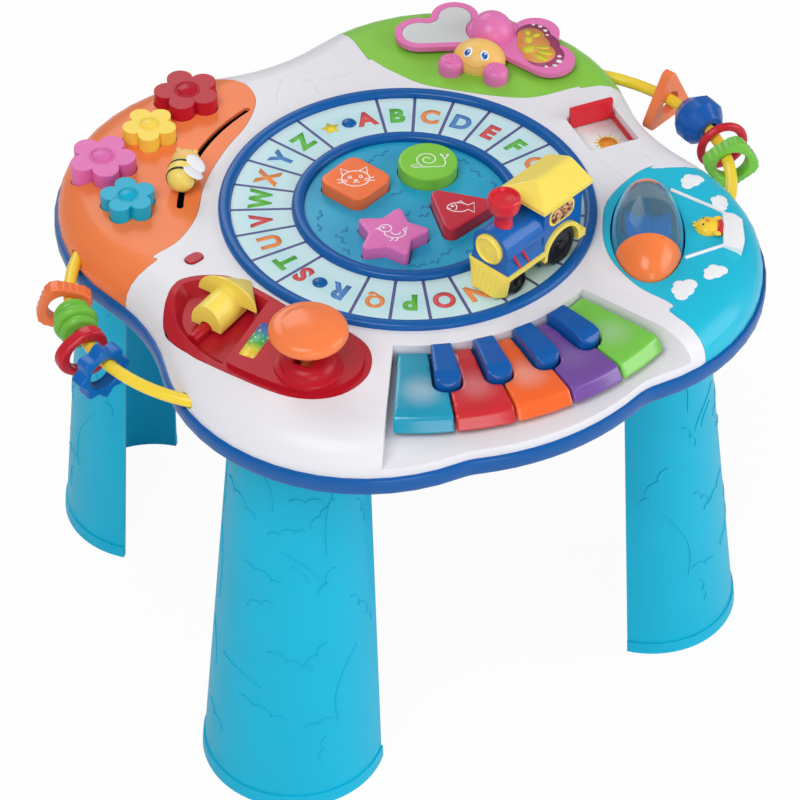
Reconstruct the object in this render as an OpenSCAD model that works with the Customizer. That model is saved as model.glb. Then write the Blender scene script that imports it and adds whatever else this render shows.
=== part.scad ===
// Musical activity table: a deck with four lobes that carries a letter track,
// a piano and toys that press, slide and spin, on four half-round legs.
// The origin is on the floor under the centre of the track. The piano faces
// -Y, +X is to the right and +Z is up. All sizes are in millimetres.

/* [Table] */
// Height of the deck above the floor
deck_z = 370; // [340:5:420]
// Distance of each lobe's centre from the table's centre
lobe_dist = 118; // [116:0.5:121]
// Radius of each lobe
lobe_r = 141.5; // [140:0.5:144]
// Distance of the back, left and right waists from the centre
waist_reach = 212; // [211:0.5:214]
// Distance of the piano's front edge from the centre
front_reach = 238; // [235:1:245]
// Radius of the bulge in front of the piano
front_r = 190; // [170:5:230]
// Radius of the hollow corner beside the bulge
front_fillet = 42; // [30:2:60]
// Width of the rounded shoulder round the deck
shoulder_w = 30; // [26:1:34]
// Height of the rounded shoulder
shoulder_h = 23; // [20:0.5:24]
// Wall of the moulded shells
wall = 3; // [2.5:0.5:3.5]
// Gap between neighbouring shells
seam = 0.35; // [0.2:0.05:0.5]
// Height of the blue rim band
rim_h = 14; // [12:1:18]
// How far the rim stands out from the white shell
rim_lip = 3; // [2:0.5:4]

/* [Legs] */
// Distance to each side of the front legs' tops
front_leg_x = 137.5; // [134:0.5:141]
// Distance in front of the centre of the front legs' tops
front_leg_y = 92.5; // [89:0.5:96]
// How far the front legs lean out at the floor
front_lean = 27; // [18:1:30]
// Distance to each side of the back legs' tops
back_leg_x = 128.5; // [125:0.5:132]
// Distance behind the centre of the back legs' tops
back_leg_y = 161.5; // [158:0.5:163]
// How far the back legs lean out at the floor
back_lean = 10; // [6:1:14]
// Radius of a leg at the floor
leg_r_foot = 67.5; // [62:0.5:70]
// Radius of a leg at the top
leg_r_top = 47.5; // [45:0.5:50]
// Height of the thicker band at the foot
foot_h = 10; // [6:1:16]
// Width of the latch tongue at the top of each leg
latch_w = 24; // [18:1:30]
// Length of the latch tongue
latch_h = 34; // [26:1:44]

/* [Letter track] */
// Outer radius of the track's outer ring
ring_r = 135; // [133:0.5:136]
// Width of each raised ring
ring_w = 8.7; // [7:0.1:9.5]
// Height of the raised rings above the deck
ring_h = 4.6; // [3:0.2:6]
// Outer radius of the inner ring
inner_ring_r = 82.5; // [81:0.5:84]
// Thickness of the printed letter band
band_t = 1; // [0.8:0.1:1.5]
// Radius of the raised locating dots
dot_r = 3.6; // [3:0.1:4]
// Height of the raised locating dots above the band
dot_h = 1.8; // [1:0.2:2.2]

/* [Pond buttons] */
// How far the buttons stand above the deck
button_h = 10; // [7:0.5:13]
// How far buttons and flowers travel
button_travel = 3; // [2:0.5:3.5]
// Running gap round everything that moves
run_gap = 0.6; // [0.5:0.05:0.8]
// Side of the square button
square_w = 39; // [34:1:42]
// Radius of the round button
round_r = 21.5; // [18:0.5:23]
// Radius of the triangle button's corners from its centre
triangle_r = 27; // [24:1:28]
// Radius of the star button's points
star_r = 27; // [24:1:29]

/* [Flowers] */
// Radius of the red and pink flowers
flower_big_r = 24.5; // [22:0.5:25]
// Radius of the yellow and teal flowers
flower_small_r = 20; // [18:0.5:20.5]
// How far the flowers stand above the deck
flower_h = 11; // [8:0.5:14]

/* [Bee] */
// Radius of the curved slot about the table's centre
slot_r = 162; // [160:0.5:164]
// Width of the slot
slot_w = 5; // [4.5:0.1:6]
// Length of the bee
bee_len = 38; // [32:1:42]
// Radius of the bee's body
bee_r = 11.3; // [9:0.1:11.5]

/* [Piano] */
// Angle of the middle of the keyboard
piano_a = 265; // [264:0.5:266]
// Angle from one key to the next
key_pitch = 11.1; // [10.9:0.05:11.2]
// Radius of the keys' inner ends
key_in_r = 151; // [149:0.5:153]
// Radius of the keys' front ends
key_out_r = 222; // [216:1:224]
// Gap between keys
key_gap = 1.2; // [1:0.1:2]
// Depth of the keyboard's floor below the deck
piano_depth = 20; // [19:0.5:21]
// Outer end of the blue keys
sharp_out_r = 191; // [185:1:198]
// Width of a blue key at its inner end
sharp_in_w = 13; // [11:0.5:14]
// Width of a blue key at its outer end
sharp_out_w = 18; // [15:0.5:19]
// Height of the blue keys above the deck
sharp_h = 4.5; // [3:0.5:7]

/* [Console] */
// Depth of the dish that the arrow slides in
dish_depth = 8; // [6:0.5:9]
// Height of the platform under the joystick
platform_h = 3.5; // [2:0.5:5]
// Width of the half-round rail
rail_w = 8.5; // [8:0.5:11]
// Half width of the arrow's head
arrow_head_w = 24.5; // [20:1:26]
// Half width of the arrow's body
arrow_body_w = 12.5; // [11:0.5:14]
// Length of the arrow
arrow_len = 50; // [42:1:52]
// Radius of the joystick's knob
knob_r = 27; // [25:0.5:31]
// Height of the knob's middle above the deck
knob_z = 35; // [33:1:38]
// Thickness of the knob
knob_t = 17; // [13:1:19]
// Radius of the joystick's shaft
shaft_r = 6; // [5:0.5:7]

/* [Balloon] */
// Half the length of the balloon barrel
barrel_len = 55; // [50:1:56]
// Radius of the balloon barrel
barrel_r = 25.5; // [22:0.5:26]
// Wall of the barrel
barrel_wall = 2; // [1.5:0.25:2.5]

/* [Butterfly] */
// Radius of the butterfly's head
face_r = 19; // [17:0.5:20]
// Radius of the butterfly's round body
tail_r = 19.5; // [17:0.5:20]
// Thickness of the wings
wing_t = 4; // [3:0.5:5]
// Radius of the curled feelers
feeler_r = 9.5; // [8:0.5:10]

/* [Sun door] */
// Width of the door's window
door_w = 40; // [36:1:42]
// Length of the door's window
door_l = 43; // [40:1:44]
// Depth of the picture below the deck
door_depth = 8.5; // [8:0.5:10]
// Height of the door's lip above the deck
door_lip_h = 9; // [6:0.5:12]

/* [Bead rails] */
// Radius of the rail's tube
tube_r = 4.4; // [3.8:0.1:4.8]
// Half the distance between the points where a rail leaves the shell
rail_span = 84; // [82:1:86]
// How far each rail bows out beyond those points
rail_bow = 32; // [30:1:34]
// Height of the rails below the deck
rail_drop = 21; // [20:0.5:22]
// Outer radius of the ribbed and faceted balls
ball_r = 18.5; // [16:0.5:19]
// Outer radius of the loose rings
bead_ring_r = 20.5; // [19:0.5:21]

/* [Train] */
// Radius of the train's path
train_r = 103; // [102:0.5:104]
// Half the distance between the outer faces of the wheels
train_half_w = 16.5; // [15.5:0.1:16.6]
// Radius of the rear wheels
rear_wheel_r = 14.7; // [13:0.1:15]
// Radius of the front wheels
front_wheel_r = 8.7; // [7.5:0.1:9]
// Radius of the boiler
boiler_r = 16; // [14:0.5:16.5]
// Height of the roof above the track
train_h = 68; // [64:1:72]

/* [Hidden] */

$fn = 48;
eps = 0.02;
big = 400;

// Heights
shell_z = deck_z - shoulder_h - 4;
tray_z = shell_z - rim_h;
floor_z = tray_z + wall;

// Outline: one lobe on each diagonal, a concave waist between lobes and a
// bulge in front. Every inset of it keeps the same arc centres.
lobe_xy = lobe_dist * cos(45);
waist_gap = waist_reach - lobe_xy;
waist_r = (lobe_r * lobe_r - waist_gap * waist_gap - lobe_xy * lobe_xy) / (2 * (waist_gap - lobe_r));
waist_c = waist_reach + waist_r;
waist_a = atan(lobe_xy / (waist_c - lobe_xy));
front_c = [front_reach * cos(piano_a) * 0.6, front_r - front_reach];
left_c = [-lobe_xy, -lobe_xy];
right_c = [lobe_xy, -lobe_xy];
left_fillet = meet(left_c, lobe_r + front_fillet, front_c, front_r + front_fillet, 1);
right_fillet = meet(right_c, lobe_r + front_fillet, front_c, front_r + front_fillet, -1);

lobe_steps = 16;
waist_steps = 6;
front_steps = 10;
fillet_steps = 4;

function turn(v) = (v + 720) % 360;
function heading(from, to) = turn(atan2(to[1] - from[1], to[0] - from[0]));
function polar(r, a) = [r * cos(a), r * sin(a)];
function at(r, a, z) = [r * cos(a), r * sin(a), z];
function arc(c, r, a1, a2, n) = [for (i = [0:n - 1]) c + polar(r, a1 + (a2 - a1) * i / n)];

// One of the two points at distance r1 from c1 and r2 from c2
function meet(c1, r1, c2, r2, side) =
    let (v = c2 - c1, d = norm(v), along = (d * d + r1 * r1 - r2 * r2) / (2 * d))
    let (up = sqrt(r1 * r1 - along * along), u = v / d)
    c1 + along * u + side * up * [u[1], -u[0]];

function outline(inset) = let (lobe = lobe_r - inset, waist = waist_r + inset)
    let (front = front_r - inset, fillet = front_fillet + inset)
    let (a1 = heading(left_c, left_fillet), a2 = heading(front_c, left_fillet))
    let (a3 = heading(front_c, right_fillet), a4 = heading(right_c, right_fillet))
    concat(
        arc([lobe_xy, lobe_xy], lobe, -waist_a, 90 + waist_a, lobe_steps),
        arc([0, waist_c], waist, 270 + waist_a, 270 - waist_a, waist_steps),
        arc([-lobe_xy, lobe_xy], lobe, 90 - waist_a, 180 + waist_a, lobe_steps),
        arc([-waist_c, 0], waist, 360 + waist_a, 360 - waist_a, waist_steps),
        arc(left_c, lobe, 180 - waist_a, a1, lobe_steps),
        arc(left_fillet, fillet, a1 + 180, a2 + 180, fillet_steps),
        arc(front_c, front, a2, a3, front_steps),
        arc(right_fillet, fillet, a3 + 180, a4 + 180, fillet_steps),
        arc(right_c, lobe, a4, 360 + waist_a, lobe_steps),
        arc([waist_c, 0], waist, 180 + waist_a, 180 - waist_a, waist_steps));

// Closed solid through levels of [inset, height], from its first cap to its last
module loft(levels) {
    rings = [for (level = levels) [for (p = outline(level[0])) [p[0], p[1], level[1]]]];
    n = len(rings[0]);
    last = len(levels) - 1;
    sides = [for (j = [0:last - 1], i = [0:n - 1])
        let (k = (i + 1) % n) each [[j * n + i, (j + 1) * n + i, (j + 1) * n + k],
            [j * n + i, (j + 1) * n + k, j * n + k]]];
    first_cap = [for (i = [0:n - 1]) [n * (last + 1), i, (i + 1) % n]];
    last_cap = [for (i = [0:n - 1]) [n * (last + 1) + 1, last * n + (i + 1) % n, last * n + i]];
    ends = [[0, 0, levels[0][1]], [0, 0, levels[last][1]]];
    polyhedron([for (ring = rings) each ring, each ends], [each sides, each first_cap, each last_cap]);
}

shoulder_base = deck_z - shoulder_h;
function shoulder(q) = [rim_lip + shoulder_w * (1 - cos(q)), shoulder_base + shoulder_h * sin(q)];
function inner_shoulder(q) = [rim_lip + wall + (shoulder_w - wall) * (1 - cos(q)),
    shoulder_base + (shoulder_h - wall) * sin(q)];
outer_levels = [[rim_lip, shell_z], for (q = [0:18:90]) shoulder(q)];
shell_levels = [for (q = [90:-45:0]) inner_shoulder(q), [rim_lip + wall, shell_z], each outer_levels];

// The shell's upper surface on one lobe, as a solid turned about its centre
module lobe_dome(sx, sy) {
    translate([sx * lobe_xy, sy * lobe_xy, 0]) rotate_extrude($fn = 144)
        polygon([[0, shell_z], for (level = outer_levels) [lobe_r - level[0], level[1]], [0, deck_z]]);
}

// Smooth closed curve through a few points
function blend(a, b, c, d, t) = 0.5 * (2 * b + (c - a) * t
    + (2 * a - 5 * b + 4 * c - d) * t * t + (3 * b - a - 3 * c + d) * t * t * t);
function smooth(pts, steps) = let (n = len(pts)) [for (i = [0:n - 1], s = [0:steps - 1])
    blend(pts[(i + n - 1) % n], pts[i], pts[(i + 1) % n], pts[(i + 2) % n], s / steps)];
function polar_points(list) = [for (p = list) polar(p[0], p[1])];

// Coloured regions of the deck: radius and angle of a few points on each
// edge. The points beyond the rim close the shape in the air.
beyond = 420;
orange_edge = [[beyond, 116], [232, 107], [205, 102.5], [185, 100.5], [165, 103], [150, 112],
    [146.5, 125], [147.5, 141], [150.5, 155], [166, 164], [187, 168], [207, 172], [beyond, 180]];
green_edge = [[beyond, 4], [213, 14.5], [190, 18.5], [160, 24], [147, 32], [141.5, 43],
    [144, 55], [155, 62], [175, 68.5], [200, 71.5], [beyond, 78]];
sky_edge = [[beyond, 297], [232, 297.3], [210, 300.3], [182, 301.8], [157, 307], [144, 314.3],
    [139.5, 324], [143, 333], [160, 341], [182, 345.2], [205, 343.7], [beyond, 343]];
console_edge = [[207, 186], [181, 178], [150, 181.5], [139, 192], [138.5, 208], [141, 222.5],
    [157, 230.5], [184, 231.3], [207, 226.5], [217, 218.5], [216, 206], [215, 196]];

module region(edge) {
    polygon(smooth(polar_points(edge), 6));
}

module sector(r1, r2, a1, a2, steps = 12) {
    polygon([for (i = [0:steps]) polar(r2, a1 + (a2 - a1) * i / steps),
        for (i = [steps:-1:0]) polar(r1, a1 + (a2 - a1) * i / steps)]);
}

module prism(z1, z2) {
    translate([0, 0, z1]) linear_extrude(z2 - z1) children();
}

// Moves a child to a radius and an angle on the deck
module on_deck(r, a, z = 0) {
    translate(at(r, a, deck_z + z)) children();
}

// ---- shells ----

module bottom_tray() {
    color("#0a64b8") difference() {
        union() {
            loft([[4, tray_z], [1.2, tray_z + 1], [0, tray_z + 3.5], [0, shell_z - 2],
                [0.8, shell_z - 0.6], [2.4, shell_z], [rim_lip + wall + 1, shell_z],
                [rim_lip + wall + 1, floor_z]]);
            translate([0, battery_y, floor_z - eps]) linear_extrude(battery_box_h)
                square([battery_w + 2 * wall, battery_l + 2 * wall], center = true);
            for (x = [-1, 1], y = [-1, 1])
                translate([x * board_w * 0.42, board_y + y * board_l * 0.4, floor_z - eps])
                    cylinder(h = board_z - floor_z + eps, r = 3);
        }
        translate([0, battery_y, tray_z - 1]) linear_extrude(battery_box_h + 1)
            square([battery_w, battery_l], center = true);
        for (ring = [0:2], i = [0:max(0, ring * 6 - 1)])
            translate([speaker_x, speaker_y, tray_z - 1])
                rotate(i * 60 / max(1, ring)) translate([ring * 9, 0, 0]) cylinder(h = wall + 2, r = 2.2);
        translate([switch_x, speaker_y, tray_z - 1]) linear_extrude(wall + 2)
            square([switch_w + switch_travel + 2 * run_gap, switch_w * 0.6 + 2 * run_gap], center = true);
    }
}

piano_a1 = piano_a - 2.5 * key_pitch;
piano_a2 = piano_a + 2.5 * key_pitch;
piano_floor = deck_z - piano_depth;
piano_edge = 1.1;

// The keyboard's pocket, open to the front over a low lip
module piano_pocket() {
    prism(piano_floor, deck_z + 10) sector(key_in_r - 1, beyond, piano_a1 - piano_edge, piano_a2 + piano_edge, 24);
    prism(piano_floor, deck_z - 8) sector(key_in_r - 9.5, key_in_r, piano_a1, piano_a2, 24);
}

module top_shell() {
    color("#e8e6eb") key_fulcrum();
    color("#e8e6eb") difference() {
        union() {
            loft(shell_levels);
            intersection() {
                loft(outer_levels);
                prism(piano_floor - wall, deck_z)
                    sector(key_in_r - 9.5 - wall, beyond, piano_a1 - 2.2, piano_a2 + 2.2, 24);
            }
            door_frame();
        }
        piano_pocket();
        door_window();
        prism(shell_z - 1, deck_z + 1) circle(r = ring_seat_r + seam, $fn = 120);
        for (edge = [orange_edge, green_edge, sky_edge, console_edge])
            prism(shell_z - 1, deck_z + 1) offset(delta = seam) region(edge);
        rail_holes();
        on_deck(lens_r, lens_a, -wall - 1) linear_extrude(wall + 2) lens_shape(seam);
    }
}

module cover(edge) {
    difference() {
        intersection() {
            loft(shell_levels);
            prism(shell_z, deck_z + 1) region(edge);
        }
        rail_holes();
    }
}

module orange_cover() {
    color("#f78750") difference() {
        cover(orange_edge);
        bee_slot();
        for (flower = flowers)
            on_deck(flower[0], flower[1], -40) linear_extrude(60) flower_shape(flower[2] + run_gap, flower[3]);
    }
}

module green_cover() {
    color("#8cca50") cover(green_edge);
}

module sky_cover() {
    color("#19bedc") difference() {
        union() {
            cover(sky_edge);
            on_deck(barrel_d, barrel_da, -8) rotate(barrel_a) linear_extrude(6.5) for (side = [-1, 1])
                translate([side * (barrel_len + 3), 0]) square([9, 10], center = true);
        }
        on_deck(barrel_d, barrel_da, -40) rotate(barrel_a) linear_extrude(60) barrel_section(barrel_gap);
        barrel_place() cylinder(h = 2 * barrel_len + 11, r = pin_r + 0.4, center = true);
    }
}

// ---- legs: half-round shells, leaning out towards the foot ----

leg_taper = (leg_r_foot - leg_r_top) / tray_z;
leg_spare = 20;
foot_band = 1.2;

function leg_r(z) = leg_r_foot - leg_taper * z;

// Side view of the wall, closed at the top, both ends longer than the leg
function leg_section() = let (low = -leg_spare, high = tray_z + leg_spare, plate = tray_z - 8)
    [[leg_r(low) - wall, low], [leg_r(low), low], [leg_r(high), high], [0, high], [0, plate],
        [leg_r(plate) - wall, plate]];

function band_section() = [for (p = [[-1, -leg_spare], [foot_band, -leg_spare],
    [foot_band, leg_spare + foot_h], [-1, leg_spare + foot_h]]) [leg_r(p[1]) + p[0], p[1]]];

module leaning_half(lean, height) {
    intersection() {
        translate([0, 0, tray_z]) rotate([0, -atan(lean / tray_z), 0]) translate([0, 0, -tray_z])
            rotate(-90) rotate_extrude(angle = 180, $fn = 96) children();
        prism(0, height) square(2 * big, center = true);
    }
}

module leg(lean) {
    difference() {
        union() {
            leaning_half(lean, tray_z) polygon(leg_section());
            leaning_half(lean, foot_h) polygon(band_section());
        }
        translate([leg_r_top - 14, 0, tray_z]) rotate([0, 90, 0]) linear_extrude(30) latch_groove();
    }
}

module latch_tongue(grow) {
    translate([latch_h / 2 - 5, 0]) offset(r = latch_w / 2 + grow, $fn = 40)
        square([latch_h - latch_w + 10, eps], center = true);
}

module latch_groove() {
    difference() {
        latch_tongue(0.5);
        latch_tongue(-0.5);
        translate([-30 + wall + 1, 0]) square([60, 60], center = true);
    }
}

module legs() {
    color("#14b4d7") for (side = [0, 1]) mirror([side, 0, 0]) {
        translate([front_leg_x, -front_leg_y, 0]) rotate(-45) leg(front_lean);
        translate([back_leg_x, back_leg_y, 0]) rotate(45) leg(back_lean);
    }
}

// ---- letter track ----

ring_seat_r = ring_r - 4;
band_z = deck_z - band_t;
pond_r = inner_ring_r - ring_w;

pond_ledge = 4;
round_over = 3.2;

// Rounded top of a raised ring, from its outer foot to its inner foot
function lip(r1, r2, n = 6) = [[r2, deck_z],
    for (q = [0:90 / n:90]) [r2 - round_over * (1 - cos(q)), deck_z + ring_h - round_over * (1 - sin(q))],
    for (q = [90:-90 / n:0]) [r1 + round_over * (1 - cos(q)), deck_z + ring_h - round_over * (1 - sin(q))],
    [r1, deck_z]];

module track_ring() {
    low = deck_z - wall - 3;
    color("#0a64b8") {
        rotate_extrude($fn = 120) polygon([[pond_r - pond_ledge, low], [ring_seat_r, low],
            [ring_seat_r, deck_z], each lip(ring_r - ring_w, ring_r), [ring_r - ring_w, band_z],
            [inner_ring_r, band_z], each lip(pond_r, inner_ring_r), [pond_r, deck_z - wall],
            [pond_r - pond_ledge, deck_z - wall]]);
        for (a = dot_angles) rotate(a) translate([dot_track_r, 0, band_z - 1]) dot();
    }
}

letter_cells = 27;
cell_a = 360 / letter_cells;
dot_track_r = (ring_r - ring_w + inner_ring_r) / 2;
dot_angles = [150 - 5 * cell_a, 150 + 4 * cell_a];

module dot() {
    rotate_extrude($fn = 32) polygon([[0, 0], [dot_r, 0], [dot_r, 1 + band_t],
        for (i = [1:6]) [dot_r * cos(15 * i), 1 + band_t + dot_h * sin(15 * i)]]);
}

module letter_band() {
    color("#b9e1e6") difference() {
        prism(band_z, deck_z) difference() {
            circle(r = ring_r - ring_w - 0.3, $fn = 120);
            circle(r = inner_ring_r + 0.3, $fn = 120);
        }
        for (a = dot_angles) rotate(a) translate([dot_track_r, 0, band_z - 1]) cylinder(h = 4, r = dot_r + 0.3);
    }
}

// ---- pond ----

square_at = [42, 123];
round_at = [42, 40];
triangle_at = [38, 310];
star_at = [42, 224];

module square_shape(grow = 0) {
    rotate(20) offset(r = 8 + grow, $fn = 40) square(square_w - 16, center = true);
}

module round_shape(grow = 0) {
    circle(r = round_r + grow, $fn = 64);
}

module triangle_shape(grow = 0) {
    rotate(105) offset(r = 6 + grow, $fn = 36) circle(r = triangle_r - 6 * 1.3, $fn = 3);
}

module star_shape(grow = 0) {
    rotate(48) offset(r = 3 + grow, $fn = 24)
        polygon([for (i = [0:9]) polar((i % 2 == 0 ? 1 : 0.56) * (star_r - 3.5), i * 36)]);
}

module pond_plate() {
    color("#23a0cd") difference() {
        prism(deck_z - wall, deck_z) circle(r = pond_r - 0.2, $fn = 120);
        translate(at(square_at[0], square_at[1], deck_z - 10)) linear_extrude(20) square_shape(run_gap);
        translate(at(round_at[0], round_at[1], deck_z - 10)) linear_extrude(20) round_shape(run_gap);
        translate(at(triangle_at[0], triangle_at[1], deck_z - 10)) linear_extrude(20) triangle_shape(run_gap);
        translate(at(star_at[0], star_at[1], deck_z - 10)) linear_extrude(20) star_shape(run_gap);
    }
}

// A cap of the child's shape on a round stem that reaches its switch
module press_button(place, top) {
    on_deck(place[0], place[1]) {
        translate([0, 0, -wall - button_travel - 2]) linear_extrude(top + wall + button_travel + 2) children();
        translate([0, 0, -stem_len]) cylinder(h = stem_len - wall, r = 5);
    }
}

stem_len = deck_z - floor_z - button_travel - 1.5;

module square_button() {
    color("#f5733c") press_button(square_at, button_h) square_shape();
}

module round_button() {
    color("#7dc846") press_button(round_at, button_h) round_shape();
}

module triangle_button() {
    color("#c8283c") press_button(triangle_at, button_h) triangle_shape();
}

module star_button() {
    color("#e178be") press_button(star_at, button_h) star_shape();
}

// ---- flowers: radius and angle on the deck, size and turn ----

flowers = [[202, 113.6, flower_big_r, 12], [203.5, 127.4, flower_small_r, 24],
    [223.5, 139.6, flower_big_r, 38], [198.5, 151, flower_small_r, 0]];
petals = 5;
petal_share = 0.39;

module flower_shape(r, spin) {
    petal = r * petal_share;
    for (i = [0:petals - 1]) rotate(spin + i * 360 / petals) translate([r - petal, 0]) circle(r = petal, $fn = 32);
    circle(r = r * 0.56, $fn = 32);
}

module flower(i) {
    f = flowers[i];
    depth = wall + button_travel + 2 + 8;
    on_deck(f[0], f[1]) {
        translate([0, 0, -depth]) linear_extrude(flower_h + depth) flower_shape(f[2], f[3]);
        translate([0, 0, flower_h - f[2] * 0.55]) intersection() {
            sphere(r = f[2] * 0.66, $fn = 40);
            cylinder(h = f[2], r = f[2] * 0.3);
        }
        translate([0, 0, -stem_len]) cylinder(h = stem_len - wall, r = 5);
    }
}

module flower_red() {
    color("#c3283c") flower(0);
}

module flower_yellow() {
    color("#fadc5a") flower(1);
}

module flower_pink() {
    color("#e16eb4") flower(2);
}

module flower_teal() {
    color("#1eb4c8") flower(3);
}

// ---- bee ----

slot_a1 = 107;
slot_a2 = 151;
bee_a = 142;

module bee_slot() {
    prism(deck_z - 12, deck_z + 6) {
        sector(slot_r - slot_w / 2, slot_r + slot_w / 2, slot_a1, slot_a2, 30);
        for (a = [slot_a1, slot_a2]) translate(polar(slot_r, a)) circle(r = slot_w / 2, $fn = 24);
    }
}

function oval(a, b, n = 12) = [for (i = [0:n]) [b * sin(180 * i / n), -a * cos(180 * i / n)]];

// The bee heads towards the slot's far end. Its stem carries a foot under the
// cover.
module bee() {
    stem_r = slot_w / 2 - run_gap;
    color("#fadc5a") rotate(bee_a) translate([slot_r, 0, deck_z]) {
        translate([0, 4, bee_r + 0.8]) rotate([90, 0, 0])
            rotate_extrude($fn = 40) polygon(oval(bee_len * 0.38, bee_r));
        translate([0, -bee_len * 0.26, bee_r + 0.8]) sphere(r = bee_r * 0.93, $fn = 40);
        for (side = [-1, 1]) translate([-3.5, 4 + side * 3, 2 * bee_r - 3]) rotate([side * 35, -35, 0])
            translate([-6, side * 2, 0]) cylinder(h = 2.2, r = 6.5, center = true, $fn = 32);
        translate([0, 0, -wall - 4]) cylinder(h = wall + 8, r = stem_r, $fn = 24);
        translate([0, 0, -wall - 4]) cylinder(h = 3, r = slot_w, $fn = 32);
    }
}

// ---- piano ----

key_top = deck_z - 4;
key_bottom = piano_floor + 4.5;
key_pivot_r = key_in_r - 5;
key_pivot_z = piano_floor + 6;
fulcrum_r = 2.4;

// Curved bar that all the keys rock on, on a rib
module key_fulcrum() {
    rotate(piano_a1 - 1) rotate_extrude(angle = 5 * key_pitch + 2, $fn = 180) fulcrum_section(0);
}

module fulcrum_section(grow) {
    translate([key_pivot_r, key_pivot_z]) circle(r = fulcrum_r + grow, $fn = 32);
    translate([key_pivot_r - fulcrum_r * 0.7 - grow, piano_floor - 1])
        square([fulcrum_r * 1.4 + 2 * grow, key_pivot_z - piano_floor + 1]);
}

// Side view of a coloured key: a tail under the shell, a sloping top and a
// bevelled front
function key_profile() = [[key_in_r - 8, key_bottom - 2], [key_in_r - 8, deck_z - 9.4],
    [key_in_r, deck_z - 9], [key_in_r, key_top - 2], [key_in_r + 1.5, key_top - 0.5],
    [key_in_r + 12, key_top + 0.5], [key_out_r - 14, key_top - 0.5], [key_out_r - 7.5, key_top - 1.2],
    [key_out_r - 5.5, key_top - 2.6], [key_out_r - 0.6, key_bottom + 1], [key_out_r, key_bottom],
    [key_in_r + 6, key_bottom - 1.5]];

function sharp_angle(i) = piano_a1 + i * key_pitch;

// A blue key from above: a straight tail and a round nose
module sharp_shape(i, grow = 0, nose_grow = 0) {
    w1 = sharp_in_w / 2 + grow;
    w2 = sharp_out_w / 2 + grow;
    nose = sharp_out_w * 0.3;
    r1 = key_in_r - 8 - grow;
    r2 = sharp_out_r - nose;
    rotate(sharp_angle(i)) polygon([[r1, -w1],
        for (q = [-90:22.5:90]) [r2 + (nose + nose_grow) * cos(q), w2 * sin(q)], [r1, w1]]);
}

module key(i) {
    a1 = piano_a1 + i * key_pitch;
    half = key_gap * 90 / (PI * key_out_r) + 0.04;
    intersection() {
        prism(piano_floor, deck_z + 5) difference() {
            sector(key_in_r - 8, key_out_r + 2, a1 + half, a1 + key_pitch - half);
            if (i > 0) sharp_shape(i, key_gap, nose_gap);
            if (i < 4) sharp_shape(i + 1, key_gap, nose_gap);
        }
        rotate_extrude($fn = 180) difference() {
            polygon(key_profile());
            fulcrum_section(fulcrum_gap);
        }
    }
}

nose_gap = 2.2;
fulcrum_gap = 0.5;

module key_teal() {
    color("#1ea5be") key(0);
}

module key_red() {
    color("#d7282d") key(1);
}

module key_orange() {
    color("#fa692d") key(2);
}

module key_purple() {
    color("#7d55a5") key(3);
}

module key_green() {
    color("#7dc85a") key(4);
}

function sharp_profile() = [[key_in_r - 8, key_bottom - 2], [key_in_r - 8, deck_z - 9.4],
    [key_in_r, deck_z - 9], [key_in_r, deck_z + sharp_h - 3], [key_in_r + 3, deck_z + sharp_h],
    [sharp_out_r - 9, deck_z + sharp_h], [sharp_out_r - 3, deck_z + sharp_h - 2.2],
    [sharp_out_r + 1, deck_z - 3], [sharp_out_r + 1, key_bottom], [key_in_r + 6, key_bottom - 1.5]];

module sharp_key(i) {
    color("#0f5fb4") intersection() {
        prism(piano_floor, deck_z + sharp_h + 1) sharp_shape(i);
        rotate_extrude($fn = 180) difference() {
            polygon(sharp_profile());
            fulcrum_section(fulcrum_gap);
        }
    }
}

module sharp_keys_1() {
    sharp_key(1);
}

module sharp_keys_2() {
    sharp_key(2);
}

module sharp_keys_3() {
    sharp_key(3);
}

module sharp_keys_4() {
    sharp_key(4);
}

// ---- console ----

arrow_at = [-161, -30.5];
arrow_a = 26.5;
stick_at = [-145.5, -118.5];
stick_a = 36;
split_at = [-180, -75];
split_gap = 6;
dish_z = deck_z - dish_depth;
console_z = dish_z - wall;

module console_side(side, grow) {
    intersection() {
        offset(delta = grow) region(console_edge);
        translate(split_at) rotate(stick_a) translate([-100, side > 0 ? 0 : -200 - split_gap]) square([200, 200]);
    }
}

module red_console() {
    color("#c82837") difference() {
        union() {
            difference() {
                intersection() {
                    loft(outer_levels);
                    prism(console_z, deck_z + 1) region(console_edge);
                }
                hull() {
                    prism(dish_z, dish_z + eps) console_side(1, -13);
                    prism(deck_z + 0.5, deck_z + 1) console_side(1, -4);
                }
            }
            prism(deck_z - 1, deck_z + platform_h) offset(r = 4, $fn = 32) console_side(-1, -9);
            intersection() {
                rail();
                prism(dish_z - 1, deck_z) offset(delta = -2) region(console_edge);
            }
            stick_dome();
        }
        translate([stick_at[0], stick_at[1], deck_z - 40]) rotate(stick_a)
            linear_extrude(80) square([2 * (shaft_r + 6), 2 * shaft_r + 2 * run_gap], center = true);
        stick_pin(stick_pin_r + 0.4, 1);
    }
}

rail_back = 41;
rail_ahead = 20;
stick_pin_r = 1.8;

module stick_pin(r, longer) {
    translate([stick_at[0], stick_at[1], stick_pivot_z]) rotate([90, 0, stick_a])
        cylinder(h = 2 * shaft_r + 8 + 2 * longer, r = r, center = true, $fn = 32);
}

module rail() {
    translate([arrow_at[0], arrow_at[1], dish_z - eps]) rotate(arrow_a)
        translate([-rail_back, 0, 0]) rotate([90, 0, 90]) linear_extrude(rail_back + rail_ahead) rail_section(0);
}

module rail_section(grow) {
    translate([0, rail_w / 2 - 1]) circle(r = rail_w / 2 + grow, $fn = 32);
    translate([-rail_w / 2 - grow, 0]) square([rail_w + 2 * grow, rail_w / 2 - 1]);
}

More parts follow.
